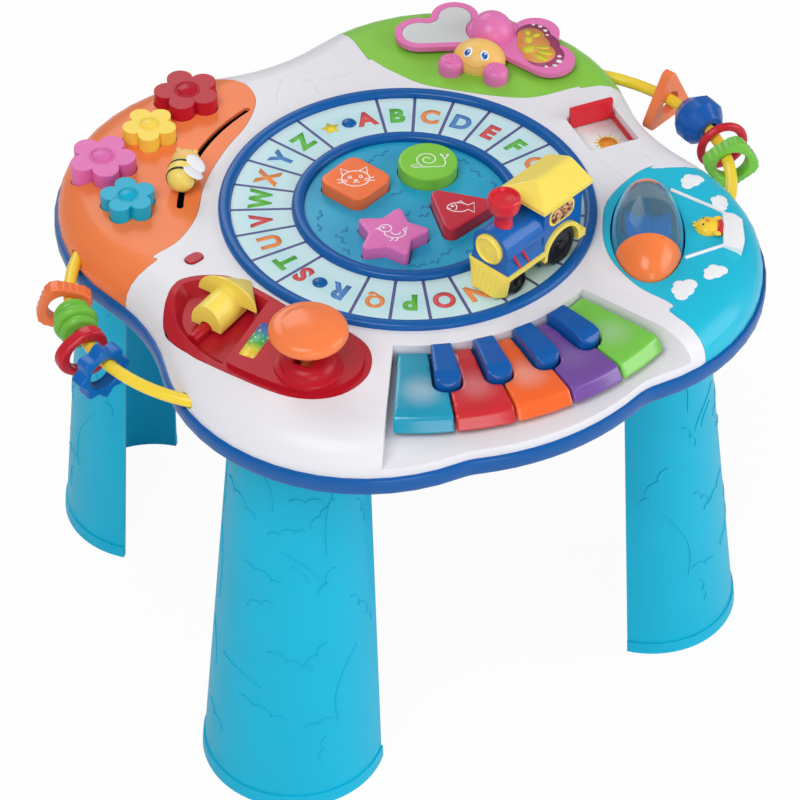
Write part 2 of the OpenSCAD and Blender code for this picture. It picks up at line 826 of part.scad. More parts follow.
module stick_dome() {
    translate([stick_at[0], stick_at[1], deck_z + platform_h - 1])
        rotate_extrude($fn = 64) polygon([[0, 0], [24, 0], [23, 2.5], [21, 3.2],
            for (q = [0:15:75]) [8 + 11.5 * cos(q), 4 + 8 * sin(q)], [0, 12]]);
}

// A saddle over the rail: a round back and a head that slopes down to its point
module arrow_slider() {
    low = dish_z + 3;
    color("#f5dc50") translate([arrow_at[0], arrow_at[1], 0]) rotate(arrow_a) rotate([90, 0, 90]) difference() {
        union() {
            translate([0, 0, -arrow_len / 2]) linear_extrude(arrow_len * 0.6) arch(arrow_body_w, 17, deck_z - 3, low);
            hull() {
                linear_extrude(1) arch(arrow_head_w, 18.5, deck_z + 2, deck_z + 2);
                translate([0, 0, arrow_len / 2 - 1]) linear_extrude(1) arch(3, 2.2, deck_z + 0.8, deck_z + 0.8);
            }
        }
        translate([0, dish_z]) linear_extrude(arrow_len + 2, center = true) rail_section(run_gap);
        translate([-rail_w / 2 - run_gap, dish_z - 5, -arrow_len]) cube([rail_w + 2 * run_gap, 6, 2 * arrow_len]);
    }
}

// Half an ellipse that stands on upright sides
module arch(half_w, rise, spring, low) {
    polygon([if (low < spring) [half_w, low], for (q = [0:12:180]) [half_w * cos(q), spring + rise * sin(q)],
        if (low < spring) [-half_w, low]]);
}

stick_pivot_z = deck_z + 1;

module joystick() {
    color("#fa824b") translate([stick_at[0], stick_at[1], 0]) rotate(stick_a) {
        translate([0, 0, deck_z + knob_z]) rotate_extrude($fn = 72) polygon(knob_profile());
        translate([0, 0, stick_pivot_z]) cylinder(h = knob_z - 6, r = shaft_r - 0.8);
        translate([0, 0, stick_pivot_z]) sphere(r = shaft_r, $fn = 40);
    }
    color("#fa824b") stick_pin(stick_pin_r, 0);
}

function knob_profile() = [[0, -knob_t * 0.45], [knob_r * 0.55, -knob_t * 0.42],
    for (q = [-75:15:75]) [knob_r - 7 + 7 * cos(q), knob_t * 0.36 * sin(q)],
    for (q = [75:-15:0]) [(knob_r - 8) * sin(q), knob_t * 0.33 + knob_t * 0.22 * cos(q)]];

// ---- balloon ----

barrel_d = 171.5;
barrel_da = 321.4;
barrel_a = 58;
barrel_z = -2.5;
barrel_gap = 1.1;
pin_r = 1.5;
pin_len = 3.2;

// Half section of the barrel: fuller towards the lower end
function barrel_half(len, r, n = 20) = [for (i = [0:n]) let (q = 180 * i / n)
    [r * sin(q) * (1 + 0.06 * cos(q)), -len * cos(q)]];

module barrel_section(grow) {
    half = barrel_half(barrel_len + grow, barrel_r + grow);
    last = len(half) - 1;
    polygon([for (p = half) [p[1], p[0]], for (i = [last - 1:-1:1]) [half[i][1], -half[i][0]]]);
}

module barrel_place() {
    on_deck(barrel_d, barrel_da, barrel_z) rotate([0, 90, barrel_a]) children();
}

module balloon_barrel() {
    color("#f5874f") barrel_place() difference() {
        rotate_extrude($fn = 64) difference() {
            polygon(barrel_half(barrel_len, barrel_r));
            polygon(barrel_half(barrel_len - barrel_wall, barrel_r - barrel_wall));
        }
        cylinder(h = 2 * barrel_len + 4, r = pin_r + 0.05, center = true);
    }
}

// Axle that runs out of both ends as pins, with a paddle wheel on it
module balloon_core() {
    color("#3c64c8") barrel_place() {
        cylinder(h = 2 * (barrel_len + barrel_gap + pin_len), r = pin_r, center = true);
        cylinder(h = 34, r = 5, center = true);
        for (i = [0:2]) rotate(i * 120) translate([0, 0, -13]) linear_extrude(26)
            translate([0, -1.25]) square([barrel_r - 7.5, 2.5]);
    }
}

basket_at = [barrel_d + 49.5, barrel_da - 0.9];

module balloon_basket() {
    color("#f0f0f0") difference() {
        union() {
            on_deck(basket_at[0] + 10, basket_at[1], -8) rotate(basket_at[1])
                linear_extrude(10.5) offset(r = 1.5, $fn = 16) polygon([[-8, -14], [6, -18], [6, 18], [-8, 14]]);
            for (side = [-1, 1]) on_deck(basket_at[0] - 12, basket_at[1] + side * 4.4, -3)
                rotate(basket_at[1] - side * 22) linear_extrude(4.5) square([42, 2.2], center = true);
        }
        lobe_dome(1, -1);
        on_deck(barrel_d, barrel_da, -10) rotate(barrel_a) linear_extrude(20) barrel_section(barrel_gap);
    }
}

module balloon_rider() {
    color("#fad246") difference() {
        on_deck(basket_at[0] - 9, basket_at[1], -2) {
            cylinder(h = 7, r1 = 9, r2 = 7.5);
            translate([0, 0, 6]) sphere(r = 7.5, $fn = 32);
        }
        lobe_dome(1, -1);
    }
}

// ---- butterfly ----

bug_a = 42.5;
head_u = 178;
tail_u = 213;
wing_z = 3;

module on_bug(u, v, z) {
    rotate(bug_a) translate([u, v, deck_z + z]) children();
}

module butterfly_head() {
    color("#fcc86e") on_bug(head_u, 0, 0) difference() {
        translate([0, 0, 4]) sphere(r = face_r, $fn = 56);
        translate([0, 0, -25]) cube([60, 60, 50], center = true);
    }
}

// The round body behind the head, and the two curled feelers before it
module butterfly_body() {
    color("#e66eb4") {
        difference() {
            on_bug(tail_u, 0, 8) sphere(r = tail_r, $fn = 56);
            lobe_dome(1, 1);
            on_bug(head_u, 0, 4) sphere(r = face_r + 0.3, $fn = 56);
        }
        for (side = [-1, 1]) on_bug(head_u - 15.5, side * 17.5, 0) difference() {
            rotate_extrude($fn = 40) polygon([[0, 0], [feeler_r, 0],
                for (q = [0:15:90]) [feeler_r - 5 + 5 * cos(q), 7 + 5 * sin(q)], [0, 12]]);
            translate([15.5, -side * 17.5, 4]) sphere(r = face_r + 0.3, $fn = 56);
        }
    }
}

module wing_shape(grow) {
    offset(r = grow, $fn = 40) offset(r = -4, $fn = 24) offset(r = 4, $fn = 24) {
        hull() {
            translate([221, 32]) circle(r = 18, $fn = 40);
            translate([197, 17]) circle(r = 11, $fn = 40);
        }
        hull() {
            translate([192, 51]) circle(r = 19, $fn = 40);
            translate([197, 17]) circle(r = 11, $fn = 40);
        }
    }
}

module butterfly_wings() {
    color("#e678be") difference() {
        for (side = [0, 1]) rotate(bug_a) mirror([0, side, 0]) {
            prism(deck_z + wing_z, deck_z + wing_z + wing_t) wing_shape(0);
            prism(deck_z, deck_z + wing_z + eps) translate([197, 28]) circle(r = 12, $fn = 32);
        }
        on_bug(head_u, 0, 4) sphere(r = face_r + 0.3, $fn = 56);
        on_bug(tail_u, 0, 8) sphere(r = tail_r + 0.3, $fn = 56);
        rotate(bug_a) prism(deck_z + wing_z + wing_t - mirror_t, deck_z + 20) wing_shape(-5.5);
    }
}

mirror_t = 1.2;

module wing_mirror() {
    color("#d2d7dc") difference() {
        rotate(bug_a) prism(deck_z + wing_z + wing_t - mirror_t, deck_z + wing_z + wing_t - 0.2) wing_shape(-5.8);
        on_bug(head_u, 0, 4) sphere(r = face_r + 0.6, $fn = 56);
        on_bug(tail_u, 0, 8) sphere(r = tail_r + 0.6, $fn = 56);
    }
}

// ---- sun door ----

door_at = [170, 9];
door_a = -6;
door_t = 2.5;
door_lip_t = 4;
door_floor = deck_z - door_depth;
door_hide = door_l + 4;

module door_place(z) {
    translate([door_at[0], door_at[1], z]) rotate(door_a) children();
}

module door_frame() {
    intersection() {
        loft(outer_levels);
        door_place(door_floor - wall) translate([-door_w / 2 - wall, -door_l / 2 - wall, 0])
            cube([door_w + 2 * wall, door_l + door_hide + 2 * wall, door_depth + wall - 0.5]);
    }
}

module door_window() {
    door_place(door_floor) linear_extrude(30) offset(r = 3, $fn = 24)
        square([door_w - 6, door_l - 6], center = true);
    door_place(door_floor) translate([-door_w / 2, -door_l / 2, 0])
        cube([door_w, door_l + door_hide, door_t + run_gap + 0.5]);
}

module sun_door() {
    color("#dc2837") door_place(door_floor + 0.3)
        translate([-door_w / 2 + run_gap, door_l / 2 - door_lip_t - run_gap, 0]) {
            cube([door_w - 2 * run_gap, door_l + 1, door_t]);
            translate([2, 0, 0]) cube([door_w - 2 * run_gap - 4, door_lip_t, door_depth + door_lip_h]);
        }
}

// ---- indicator ----

lens_r = 161;
lens_a = 172;

module lens_shape(grow = 0) {
    rotate(lens_a + 20) offset(r = 4.5 + grow, $fn = 24) square([5, 0.5], center = true);
}

module indicator_lens() {
    color("#c81e32") on_deck(lens_r, lens_a, -wall) linear_extrude(wall + 1.2) lens_shape();
}

// ---- bead rails: an arc in a level plane on each side ----

shell_side = lobe_xy + lobe_r - rim_lip;
rail_r = (rail_span * rail_span + rail_bow * rail_bow) / (2 * rail_bow);
rail_c = shell_side + rail_bow - rail_r;
rail_half_a = asin(rail_span / rail_r) + 6;

module rail_path(r) {
    translate([rail_c, 0, deck_z - rail_drop]) rotate(-rail_half_a)
        rotate_extrude(angle = 2 * rail_half_a, $fn = 144) translate([rail_r, 0]) circle(r = r, $fn = 32);
}

// Straight holes through the shell where the rails enter it
module rail_holes() {
    q = asin(rail_span / rail_r);
    for (side = [0, 180], end = [-1, 1]) rotate(side)
        translate([rail_c + rail_r * cos(q) - 1.5, end * (rail_span + 1.7), deck_z - rail_drop])
            rotate([90, 0, end * q]) cylinder(h = 24, r = tube_r + 0.6, center = true, $fn = 32);
}

module bead_rails() {
    color("#fad73c") for (side = [0, 180]) rotate(side) rail_path(tube_r);
}

// Puts a bead on a rail, with its hole along Z. side is 0 on the right and
// 180 on the left, a is its angle about the rail's own centre.
module on_rail(side, a, out = 0, drop = 0) {
    rotate(side) translate([rail_c, 0, deck_z - rail_drop - drop]) rotate(a)
        translate([rail_r + out, 0, 0]) rotate([90, 0, 0]) children();
}

bore_r = tube_r + 1.5;
ring_hole = tube_r + 7.6;
hang_out = 4;
hang_down = 5.6;

// Ring whose rim swells in a number of ribs or knobs
module rib_ring(r, swell, count, t) {
    linear_extrude(t, center = true) difference() {
        polygon([for (a = [0:5:355]) polar(r - swell * (1 - cos(a * count)) / 2, a)]);
        circle(r = ring_hole, $fn = 40);
    }
}

module square_ring(r, t) {
    linear_extrude(t, center = true) difference() {
        polygon([for (a = [0:5:355]) let (q = pow(pow(abs(cos(a)), 4) + pow(abs(sin(a)), 4), -0.25))
            polar((r / 1.16) * q + 0.6 * cos(a * 24), a)]);
        circle(r = ring_hole, $fn = 40);
    }
}

module bead_orange_ring() {
    color("#f57841") on_rail(180, -22.5, hang_out, hang_down) rotate(20) square_ring(bead_ring_r, 11);
}

module bead_green_ball() {
    color("#73c341") on_rail(180, -10.5) difference() {
        union() {
            for (x = [-1:1]) translate([0, 0, x * 9.6])
                cylinder(h = 8.4, r = ball_r - abs(x) * 2.5, center = true, $fn = 64);
            cylinder(h = 24, r = ball_r - 4.5, center = true);
        }
        cylinder(h = 60, r = bore_r, center = true);
    }
}

module bead_red_ring() {
    color("#c81e2d") on_rail(180, 0.5, hang_out, hang_down) rib_ring(bead_ring_r, 3, 3, 10);
}

module bead_blue_ring() {
    color("#0069b9") on_rail(180, 10.5, hang_out, hang_down) rib_ring(bead_ring_r + 0.5, 4, 8, 11);
}

module bead_arrow_ring() {
    color("#f57841") on_rail(0, 18.5, 2, 4) linear_extrude(8, center = true) difference() {
        offset(r = 5, $fn = 32) rotate(-30) circle(r = bead_ring_r + 1, $fn = 3);
        circle(r = tube_r + 4.6, $fn = 40);
    }
}

module bead_blue_ball() {
    color("#0f5fb4") on_rail(0, 2) difference() {
        rotate_extrude($fn = 12) polygon([[0, -15], [11, -15], [ball_r, -5], [ball_r, 5], [11, 15], [0, 15]]);
        cylinder(h = 60, r = bore_r, center = true);
    }
}

module bead_thin_ring() {
    color("#c81e2d") on_rail(0, -10, hang_out + 1, hang_down + 1) rotate_extrude($fn = 72)
        polygon([for (q = [0:30:330]) [bead_ring_r - 3.6 + 3.4 * cos(q), 3 * sin(q)]]);
}

module bead_green_ring() {
    color("#73c341") on_rail(0, -19.5, hang_out, hang_down) rotate(35) square_ring(bead_ring_r, 11);
}

// ---- inside and underneath ----

battery_w = 70;
battery_l = 58;
battery_y = 76;
battery_box_h = 18;
board_w = 90;
board_l = 60;
board_y = -82;
board_z = floor_z + 12;
speaker_x = -75;
speaker_y = 40;
speaker_r = 28;
switch_x = 75;
switch_w = 12;
switch_travel = 8;

module battery_door() {
    color("#0a5aaa") translate([0, battery_y, tray_z]) linear_extrude(wall)
        square([battery_w - 2 * seam, battery_l - 2 * seam], center = true);
}

module batteries() {
    color("#b48c3c") for (i = [-1.5:1.5]) translate([i * 15.5, battery_y, floor_z + 7.5])
        rotate([90, 0, 0]) {
            cylinder(h = 49, r = 7.2, center = true, $fn = 32);
            translate([0, 0, 25]) cylinder(h = 2, r = 2.7, center = true, $fn = 24);
        }
}

module speaker() {
    color("#505055") translate([speaker_x, speaker_y, floor_z])
        rotate_extrude($fn = 48) polygon([[0, 6], [10, 4], [speaker_r - 3, 0.01], [speaker_r, 0.01],
            [speaker_r, 3], [13, 9], [13, 16], [0, 16]]);
}

module circuit_board() {
    color("#2d6e46") translate([0, board_y, board_z]) {
        linear_extrude(1.6) square([board_w, board_l], center = true);
        for (x = [-26, 4, 30]) translate([x, 6, 1.5]) linear_extrude(3) square([12, 8], center = true);
    }
}

module power_switch() {
    color("#dcdcdc") translate([switch_x - switch_travel / 2, speaker_y, 0]) {
        prism(tray_z - 2, floor_z + 1) square([switch_w, switch_w * 0.6], center = true);
        prism(floor_z + 0.3, floor_z + 2) square([2 * switch_w, switch_w], center = true);
    }
}

// ---- train: drawn heading along +X, with +Y towards the rim ----

train_a = 287.6;
rear_x = -27;
front_x = 18;
axle_r = 2.4;
axle_gap = 0.5;
rear_z = rear_wheel_r + 0.3;
front_z = front_wheel_r + 0.3;
board_low = 18.3;

module train_place() {
    rotate(train_a) translate([train_r, 0, deck_z]) rotate(-90) children();
}

module wheels(r, t) {
    rotate([90, 0, 0]) {
        cylinder(h = 2 * train_half_w - 1, r = axle_r, center = true, $fn = 24);
        for (side = [0, 1]) mirror([0, 0, side]) translate([0, 0, train_half_w - t])
            rotate_extrude($fn = 56) polygon([[0, 0], [r - 0.6, 0], [r, 0.6], [r, t - 0.8],
                [r - 0.8, t], [r * 0.78, t], [r * 0.72, t - 1.4], [r * 0.3, t - 1.4], [r * 0.26, t], [0, t]]);
    }
}

module rear_wheels() {
    color("#1e1e20") train_place() translate([rear_x, 0, rear_z]) wheels(rear_wheel_r, 6);
}

module front_wheels() {
    color("#1e1e20") train_place() translate([front_x, 0, front_z]) wheels(front_wheel_r, 6);
}

module side_profile(half_w) {
    rotate([90, 0, 0]) linear_extrude(2 * half_w, center = true) children();
}

arch_r = rear_wheel_r + 1.8;

module train_chassis() {
    color("#fae164") train_place() difference() {
        union() {
            side_profile(train_half_w + 2) difference() {
                union() {
                    translate([rear_x, rear_z]) circle(r = arch_r + 3.2, $fn = 64);
                    translate([rear_x - 24, 12]) square([6, 6]);
                    translate([rear_x, board_low]) square([30 - rear_x, 3.5]);
                }
                translate([rear_x, rear_z]) circle(r = arch_r, $fn = 64);
                translate([rear_x - arch_r, -20]) square([2 * arch_r, rear_z + 20]);
                translate([rear_x - 60, -20]) square([120, 32]);
            }
            translate([-10, 0, 12]) cube([76, 2 * (train_half_w - 7.2), 13], center = true);
            plow();
            translate([30, 0, boiler_z + 1]) rotate([0, 90, 0]) rotate_extrude($fn = 48)
                polygon([[0, 0], [11.5, 0], [11.5, 2], [10.5, 3], [9, 3], [8.6, 2.4], [0, 2.8]]);
            for (side = [-1, 1]) intersection() {
                train_window(side, 0.8, 0);
                cube([200, 2 * (cab_half_w + 0.6), 200], center = true);
            }
        }
        for (p = [[rear_x, rear_z], [front_x, front_z]]) translate([p[0], 0, p[1]])
            rotate([90, 0, 0]) cylinder(h = 60, r = axle_r + axle_gap, center = true, $fn = 24);
    }
}

// Cowcatcher that leans forward, with upright grooves
module plow() {
    difference() {
        hull() {
            translate([29, 0, 20]) cube([3, 35, 2], center = true);
            translate([29, 0, 3]) cube([3, 30, 1], center = true);
            translate([34, 0, 3]) cube([4, 20, 1], center = true);
            translate([31, 0, 19]) cube([2, 26, 1], center = true);
        }
        for (i = [-3:3]) translate([37, i * 4, 2]) rotate([0, -14, 0]) cylinder(h = 22, r = 1.1, center = false, $fn = 16);
    }
}

boiler_z = 37;
cab_top = train_h - 10;
cab_half_w = train_half_w - 0.5;
window_at = [rear_x + 1, 46];

module train_body() {
    deck = board_low + 3.5;
    color("#0a64be") train_place() difference() {
        union() {
            translate([-9, 0, 0]) rotate([90, 0, 90]) linear_extrude(39) {
                translate([0, boiler_z]) circle(r = boiler_r, $fn = 64);
                polygon([[-cab_half_w - 1, deck], [cab_half_w + 1, deck], [boiler_r - 1, boiler_z - 8],
                    [boiler_r - 0.2, boiler_z], [0.2 - boiler_r, boiler_z], [1 - boiler_r, boiler_z - 8]]);
            }
            translate([-48, -cab_half_w, deck]) cube([40, 2 * cab_half_w, cab_top - deck]);
        }
        translate([rear_x, 0, rear_z]) rotate([90, 0, 0]) cylinder(h = 60, r = arch_r + 3.3, center = true, $fn = 64);
        translate([0, 0, deck - 20]) cube([120, 80, 40], center = true);
        for (side = [-1, 1]) train_window(side, 1, 0.2);
    }
}

// A side window, let into the cab by depth on each side of its face
module train_window(side, depth, grow) {
    translate([window_at[0], side * cab_half_w, window_at[1]]) rotate([90, 0, 0])
        linear_extrude(2 * depth, center = true) offset(r = 6 + grow, $fn = 32) square([14, 3], center = true);
}

// Arched slab that overhangs the cab on all sides
module train_roof() {
    half = train_half_w + 4;
    bow = (half * half + 49) / 14;
    color("#fae66e") train_place() translate([-53, 0, 0]) rotate([90, 0, 90]) linear_extrude(51)
        polygon([[-half, cab_top], [half, cab_top], [half, cab_top + 3],
            for (i = [9:-1:-9]) [i * half / 10, train_h - bow + sqrt(bow * bow - pow(i * half / 10, 2))],
            [-half, cab_top + 3]]);
}

module train_chimney() {
    color("#d7282d") train_place() difference() {
        translate([17, 0, boiler_z + boiler_r - 3]) rotate_extrude($fn = 48)
            polygon([[0, 0], [7, 0], [6.3, 6], [6.8, 10], [10.5, 16], [11.4, 19],
                [11.4, 25], [10.6, 26.2], [9, 26.2], [8, 24], [0, 23.4]]);
        translate([0, 0, boiler_z]) rotate([0, 90, 0]) cylinder(h = 40, r = boiler_r + 0.05, $fn = 64);
    }
}

bottom_tray();
top_shell();
orange_cover();
green_cover();
sky_cover();
red_console();
legs();
track_ring();
letter_band();
pond_plate();
butterfly_head();
butterfly_body();
butterfly_wings();
wing_mirror();
bead_rails();
indicator_lens();
balloon_basket();
balloon_rider();
battery_door();
batteries();
speaker();
circuit_board();
power_switch();
train_chassis();
train_body();
train_roof();
train_chimney();
rear_wheels();
front_wheels();
square_button();
round_button();
triangle_button();
star_button();
flower_red();
flower_yellow();
flower_pink();
flower_teal();
bee();
arrow_slider();
joystick();
key_teal();
key_red();
key_orange();
key_purple();
key_green();
sharp_keys_1();
sharp_keys_2();
sharp_keys_3();
sharp_keys_4();
balloon_barrel();
balloon_core();
sun_door();
bead_orange_ring();
bead_green_ball();
bead_red_ring();
bead_blue_ring();
bead_arrow_ring();
bead_blue_ball();
bead_thin_ring();
bead_green_ring();
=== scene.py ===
import math
from functools import cache

import bmesh
import bpy
from mathutils import Matrix, Vector
from mathutils.bvhtree import BVHTree


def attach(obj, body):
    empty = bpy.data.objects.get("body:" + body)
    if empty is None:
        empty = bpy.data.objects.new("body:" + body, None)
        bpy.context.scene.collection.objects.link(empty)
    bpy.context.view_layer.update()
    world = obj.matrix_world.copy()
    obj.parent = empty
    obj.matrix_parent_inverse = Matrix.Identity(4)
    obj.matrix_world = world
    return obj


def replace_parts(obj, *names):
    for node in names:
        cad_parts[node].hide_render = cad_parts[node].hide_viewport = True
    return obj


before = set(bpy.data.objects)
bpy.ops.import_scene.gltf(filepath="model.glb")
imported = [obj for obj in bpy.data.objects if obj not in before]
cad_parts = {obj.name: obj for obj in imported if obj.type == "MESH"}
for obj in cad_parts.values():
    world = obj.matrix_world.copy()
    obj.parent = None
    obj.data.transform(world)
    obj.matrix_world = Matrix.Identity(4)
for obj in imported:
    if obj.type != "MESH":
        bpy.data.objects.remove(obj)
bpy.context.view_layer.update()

# Sizes are written in millimetres and become metres when a piece is finished.
MM = 0.001
DECK = 370.0
TRAY = 329.0
scene = bpy.context.scene


# ---- places ----

def polar(r, a):
    return Vector((r * math.cos(math.radians(a)), r * math.sin(math.radians(a)), 0))


def turned(degrees, axis="Z"):
    return Matrix.Rotation(math.radians(degrees), 4, axis)


def moved(x, y, z):
    return Matrix.Translation((x, y, z))


def spot(r, a, z=0.0, turn=0.0):
    """Place on the deck at a radius and an angle, with its own turn."""
    return Matrix.Translation(polar(r, a) + Vector((0, 0, DECK + z))) @ turned(turn)


def spread(x, y=None, z=None):
    y = x if y is None else y
    z = x if z is None else z
    return Matrix.Diagonal((x, y, z, 1))


def loop(a, b, steps=24, start=0.0, end=360.0, x=0.0, y=0.0):
    """Points on an oval or on a part of one, end point included when it is open."""
    full = abs(end - start) >= 360
    count = steps if full else steps + 1
    return [(x + a * math.cos(math.radians(start + (end - start) * i / steps)),
             y + b * math.sin(math.radians(start + (end - start) * i / steps)))
            for i in range(count)]


def hue(red, green, blue):
    """Linear colour from the eight-bit values of a swatch."""
    def linear(value):
        value /= 255
        return value / 12.92 if value <= 0.04045 else ((value + 0.055) / 1.055) ** 2.4
    return (linear(red), linear(green), linear(blue), 1.0)


def shade(colour, amount):
    return tuple(min(1.0, channel * amount) for channel in colour[:3]) + (1.0,)


# ---- finishes ----

class Line:
    """A socket of a finish's nodes, which Python's operators work on."""

    def __init__(self, finish, socket):
        self.finish = finish
        self.socket = socket

    def maths(self, operation, *terms):
        return self.finish.add("ShaderNodeMath", {"operation": operation}, dict(enumerate(terms)))

    def __add__(self, other):
        return self.maths("ADD", self, other)

    __radd__ = __add__

    def __sub__(self, other):
        return self.maths("SUBTRACT", self, other)

    def __rsub__(self, other):
        return self.maths("SUBTRACT", other, self)

    def __mul__(self, other):
        return self.maths("MULTIPLY", self, other)

    __rmul__ = __mul__

    def __gt__(self, other):
        return self.maths("GREATER_THAN", self, other)

    def __abs__(self):
        return self.maths("ABSOLUTE", self)


class Finish:
    """A material and the nodes that vary its colour, gloss and surface."""

    def __init__(self, name):
        self.material = bpy.data.materials.new(name)
        self.material.use_nodes = True
        self.tree = self.material.node_tree
        self.shader = self.tree.nodes["Principled BSDF"]

    def add(self, kind, settings=None, inputs=None, output=0):
        node = self.tree.nodes.new(kind)
        for key, value in (settings or {}).items():
            if key == "stops":
                ramp = node.color_ramp.elements
                while len(ramp) < len(value):
                    ramp.new(0.5)
                for element, (place, colour) in zip(ramp, value):
                    element.position = place
                    element.color = colour
            else:
                setattr(node, key, value)
        for key, value in (inputs or {}).items():
            self.join(node.inputs[key], value)
        return Line(self, node.outputs[output])

    def join(self, socket, value):
        if isinstance(value, Line):
            self.tree.links.new(value.socket, socket)
        else:
            socket.default_value = value

    def set(self, **values):
        for key, value in values.items():
            self.join(self.shader.inputs[key.replace("_", " ")], value)
        return self

    def place(self, turn=None, centre=None):
        """Object coordinates, moved and turned into a part's own frame."""
        point = self.add("ShaderNodeTexCoord", output=3)
        if centre is not None:
            point = self.add("ShaderNodeMapping", {"vector_type": "TEXTURE"},
                             {"Vector": point, "Location": centre, "Rotation": turn or (0, 0, 0)})
        return point

    def split(self, vector):
        axes = self.add("ShaderNodeSeparateXYZ", inputs={"Vector": vector})
        outputs = axes.socket.node.outputs
        return [Line(self, outputs[i]) for i in range(3)]

    def noise(self, vector, scale, detail=2.0, rough=0.5):
        return self.add("ShaderNodeTexNoise", {},
                        {"Vector": vector, "Scale": scale, "Detail": detail, "Roughness": rough})

    def mix(self, factor, first, second):
        node = self.tree.nodes.new("ShaderNodeMix")
        node.data_type = "RGBA"
        for socket, value in zip((node.inputs[0], node.inputs[6], node.inputs[7]),
                                 (factor, first, second)):
            self.join(socket, value)
        return Line(self, node.outputs[2])

    def bump(self, height, distance, strength=0.3):
        return self.add("ShaderNodeBump", {},
                        {"Height": height, "Distance": distance, "Strength": strength})


@cache
def moulded(name, colour, gloss=0.3, coat=0.25, mottle=0.06, grain=1.0, deep=0.0, painted=None):
    """Moulded plastic: faint flow marks in the colour, a fine grain and an uneven gloss."""
    finish = Finish(name)
    here = finish.place()
    flow = finish.noise(here, 22.0, 3.0)
    grit = finish.noise(here, 1900.0, 2.0, 0.6)
    base = finish.mix(flow, shade(colour, 1 - mottle), shade(colour, 1 + mottle))
    if painted:
        base = painted(finish, here, base)
    finish.set(Base_Color=base, Roughness=gloss + 0.07 * flow + 0.05 * grit,
               Normal=finish.bump(grit, 0.00005 * grain, 0.35))
    finish.set(Coat_Weight=coat, Coat_Roughness=0.12, Specular_IOR_Level=0.2)
    if deep:
        finish.set(Subsurface_Weight=deep, Subsurface_Radius=(0.01, 0.01, 0.01),
                   Subsurface_Scale=0.6)
    return finish.material


@cache
def printed(name, colour, gloss=0.42):
    """Printed ink or film, a little thin in places."""
    finish = Finish(name)
    here = finish.place()
    cloud = finish.noise(here, 160.0, 3.0)
    finish.set(Base_Color=finish.mix(cloud, shade(colour, 0.93), shade(colour, 1.05)),
               Roughness=gloss + 0.1 * cloud)
    return finish.material


WHITE = moulded("shell_white", hue(233, 231, 236), 0.34, 0.15, 0.02)
ORANGE = moulded("cover_orange", hue(245, 130, 72), 0.3, 0.2, 0.04)
GREEN = moulded("cover_green", hue(138, 206, 70), 0.32, 0.2, 0.04)
SKY = moulded("cover_sky", hue(28, 188, 218), 0.3, 0.2, 0.04)
RED = moulded("console_red", hue(184, 24, 40), 0.3, 0.1, 0.05)
BLUE = moulded("rim_blue", hue(3, 88, 162), 0.3, 0.25, 0.05)
LEG = moulded("leg_blue", hue(6, 182, 216), 0.34, 0.12, 0.04)
YELLOW = moulded("toy_yellow", hue(250, 226, 100), 0.3, 0.25, 0.04)
CHIMNEY = moulded("chimney_red", hue(218, 40, 52), 0.24, 0.35, 0.05)
BOILER = moulded("boiler_blue", hue(8, 98, 182), 0.24, 0.35, 0.05)
PINK = moulded("butterfly_pink", hue(232, 122, 184), 0.3, 0.25, 0.04)
PEACH = moulded("butterfly_peach", hue(250, 200, 112), 0.36, 0.15, 0.04)
BLACK = moulded("wheel_black", hue(30, 30, 34), 0.34, 0.2, 0.15)
KNOB = moulded("knob_orange", hue(248, 130, 72), 0.24, 0.3, 0.04)
SOOT = moulded("bee_black", hue(24, 24, 26), 0.3)
INK_WHITE = printed("line_white", hue(245, 244, 246))
LETTER_INKS = {name[0]: (name, printed("ink_" + name, colour)) for name, colour in (
    ("red", hue(218, 78, 80)), ("green", hue(96, 188, 64)), ("orange", hue(242, 144, 74)),
    ("blue", hue(80, 134, 200)))}


# ---- making pieces ----

def put(form, place):
    """Moves a form to its place, with its faces still outwards when it is mirrored."""
    form.transform(place)
    if place.determinant() < 0:
        bmesh.ops.reverse_faces(form, faces=form.faces)


def finished(name, form, finish, body, smooth=35.0, place=None):
    """Makes an object of a bmesh in millimetres and lets it ride on a body."""
    if place is not None:
        put(form, place)
    form.transform(spread(MM))
    mesh = bpy.data.meshes.new(name)
    form.to_mesh(mesh)
    form.free()
    return settled(name, mesh, finish, body, smooth)


def settled(name, mesh, finish, body, smooth=35.0):
    part = bpy.data.objects.new(name, mesh)
    scene.collection.objects.link(part)
    for material in (finish if isinstance(finish, (list, tuple)) else [finish]):
        mesh.materials.append(material)
    mesh.shade_smooth()
    if smooth:
        crease = part.modifiers.new("creases", "EDGE_SPLIT")
        crease.split_angle = math.radians(smooth)
    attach(part, body)
    return part


def dress(node, finish, round_over=0.0, steps=3, smooth=32.0):
    """Gives a carried-over node its finish, smooth shading and soft edges."""
    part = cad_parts[node]
    for slot in part.material_slots:
        slot.material = finish
    if not part.material_slots:
        part.data.materials.append(finish)
    for face in part.data.polygons:
        face.use_smooth = True
    weld = part.modifiers.new("weld", "WELD")
    weld.merge_threshold = 0.00001
    if round_over:
        flat = part.modifiers.new("flats", "DECIMATE")
        flat.decimate_type = "DISSOLVE"
        flat.angle_limit = math.radians(0.6)
        soft = part.modifiers.new("soft_edges", "BEVEL")
        soft.width = round_over * MM
        soft.segments = steps
        soft.limit_method = "ANGLE"
        soft.angle_limit = math.radians(40)
        soft.miter_outer = "MITER_ARC"
    crease = part.modifiers.new("creases", "EDGE_SPLIT")
    crease.split_angle = math.radians(smooth)
    if round_over:
        even = part.modifiers.new("even_shading", "WEIGHTED_NORMAL")
        even.keep_sharp = True
    return part


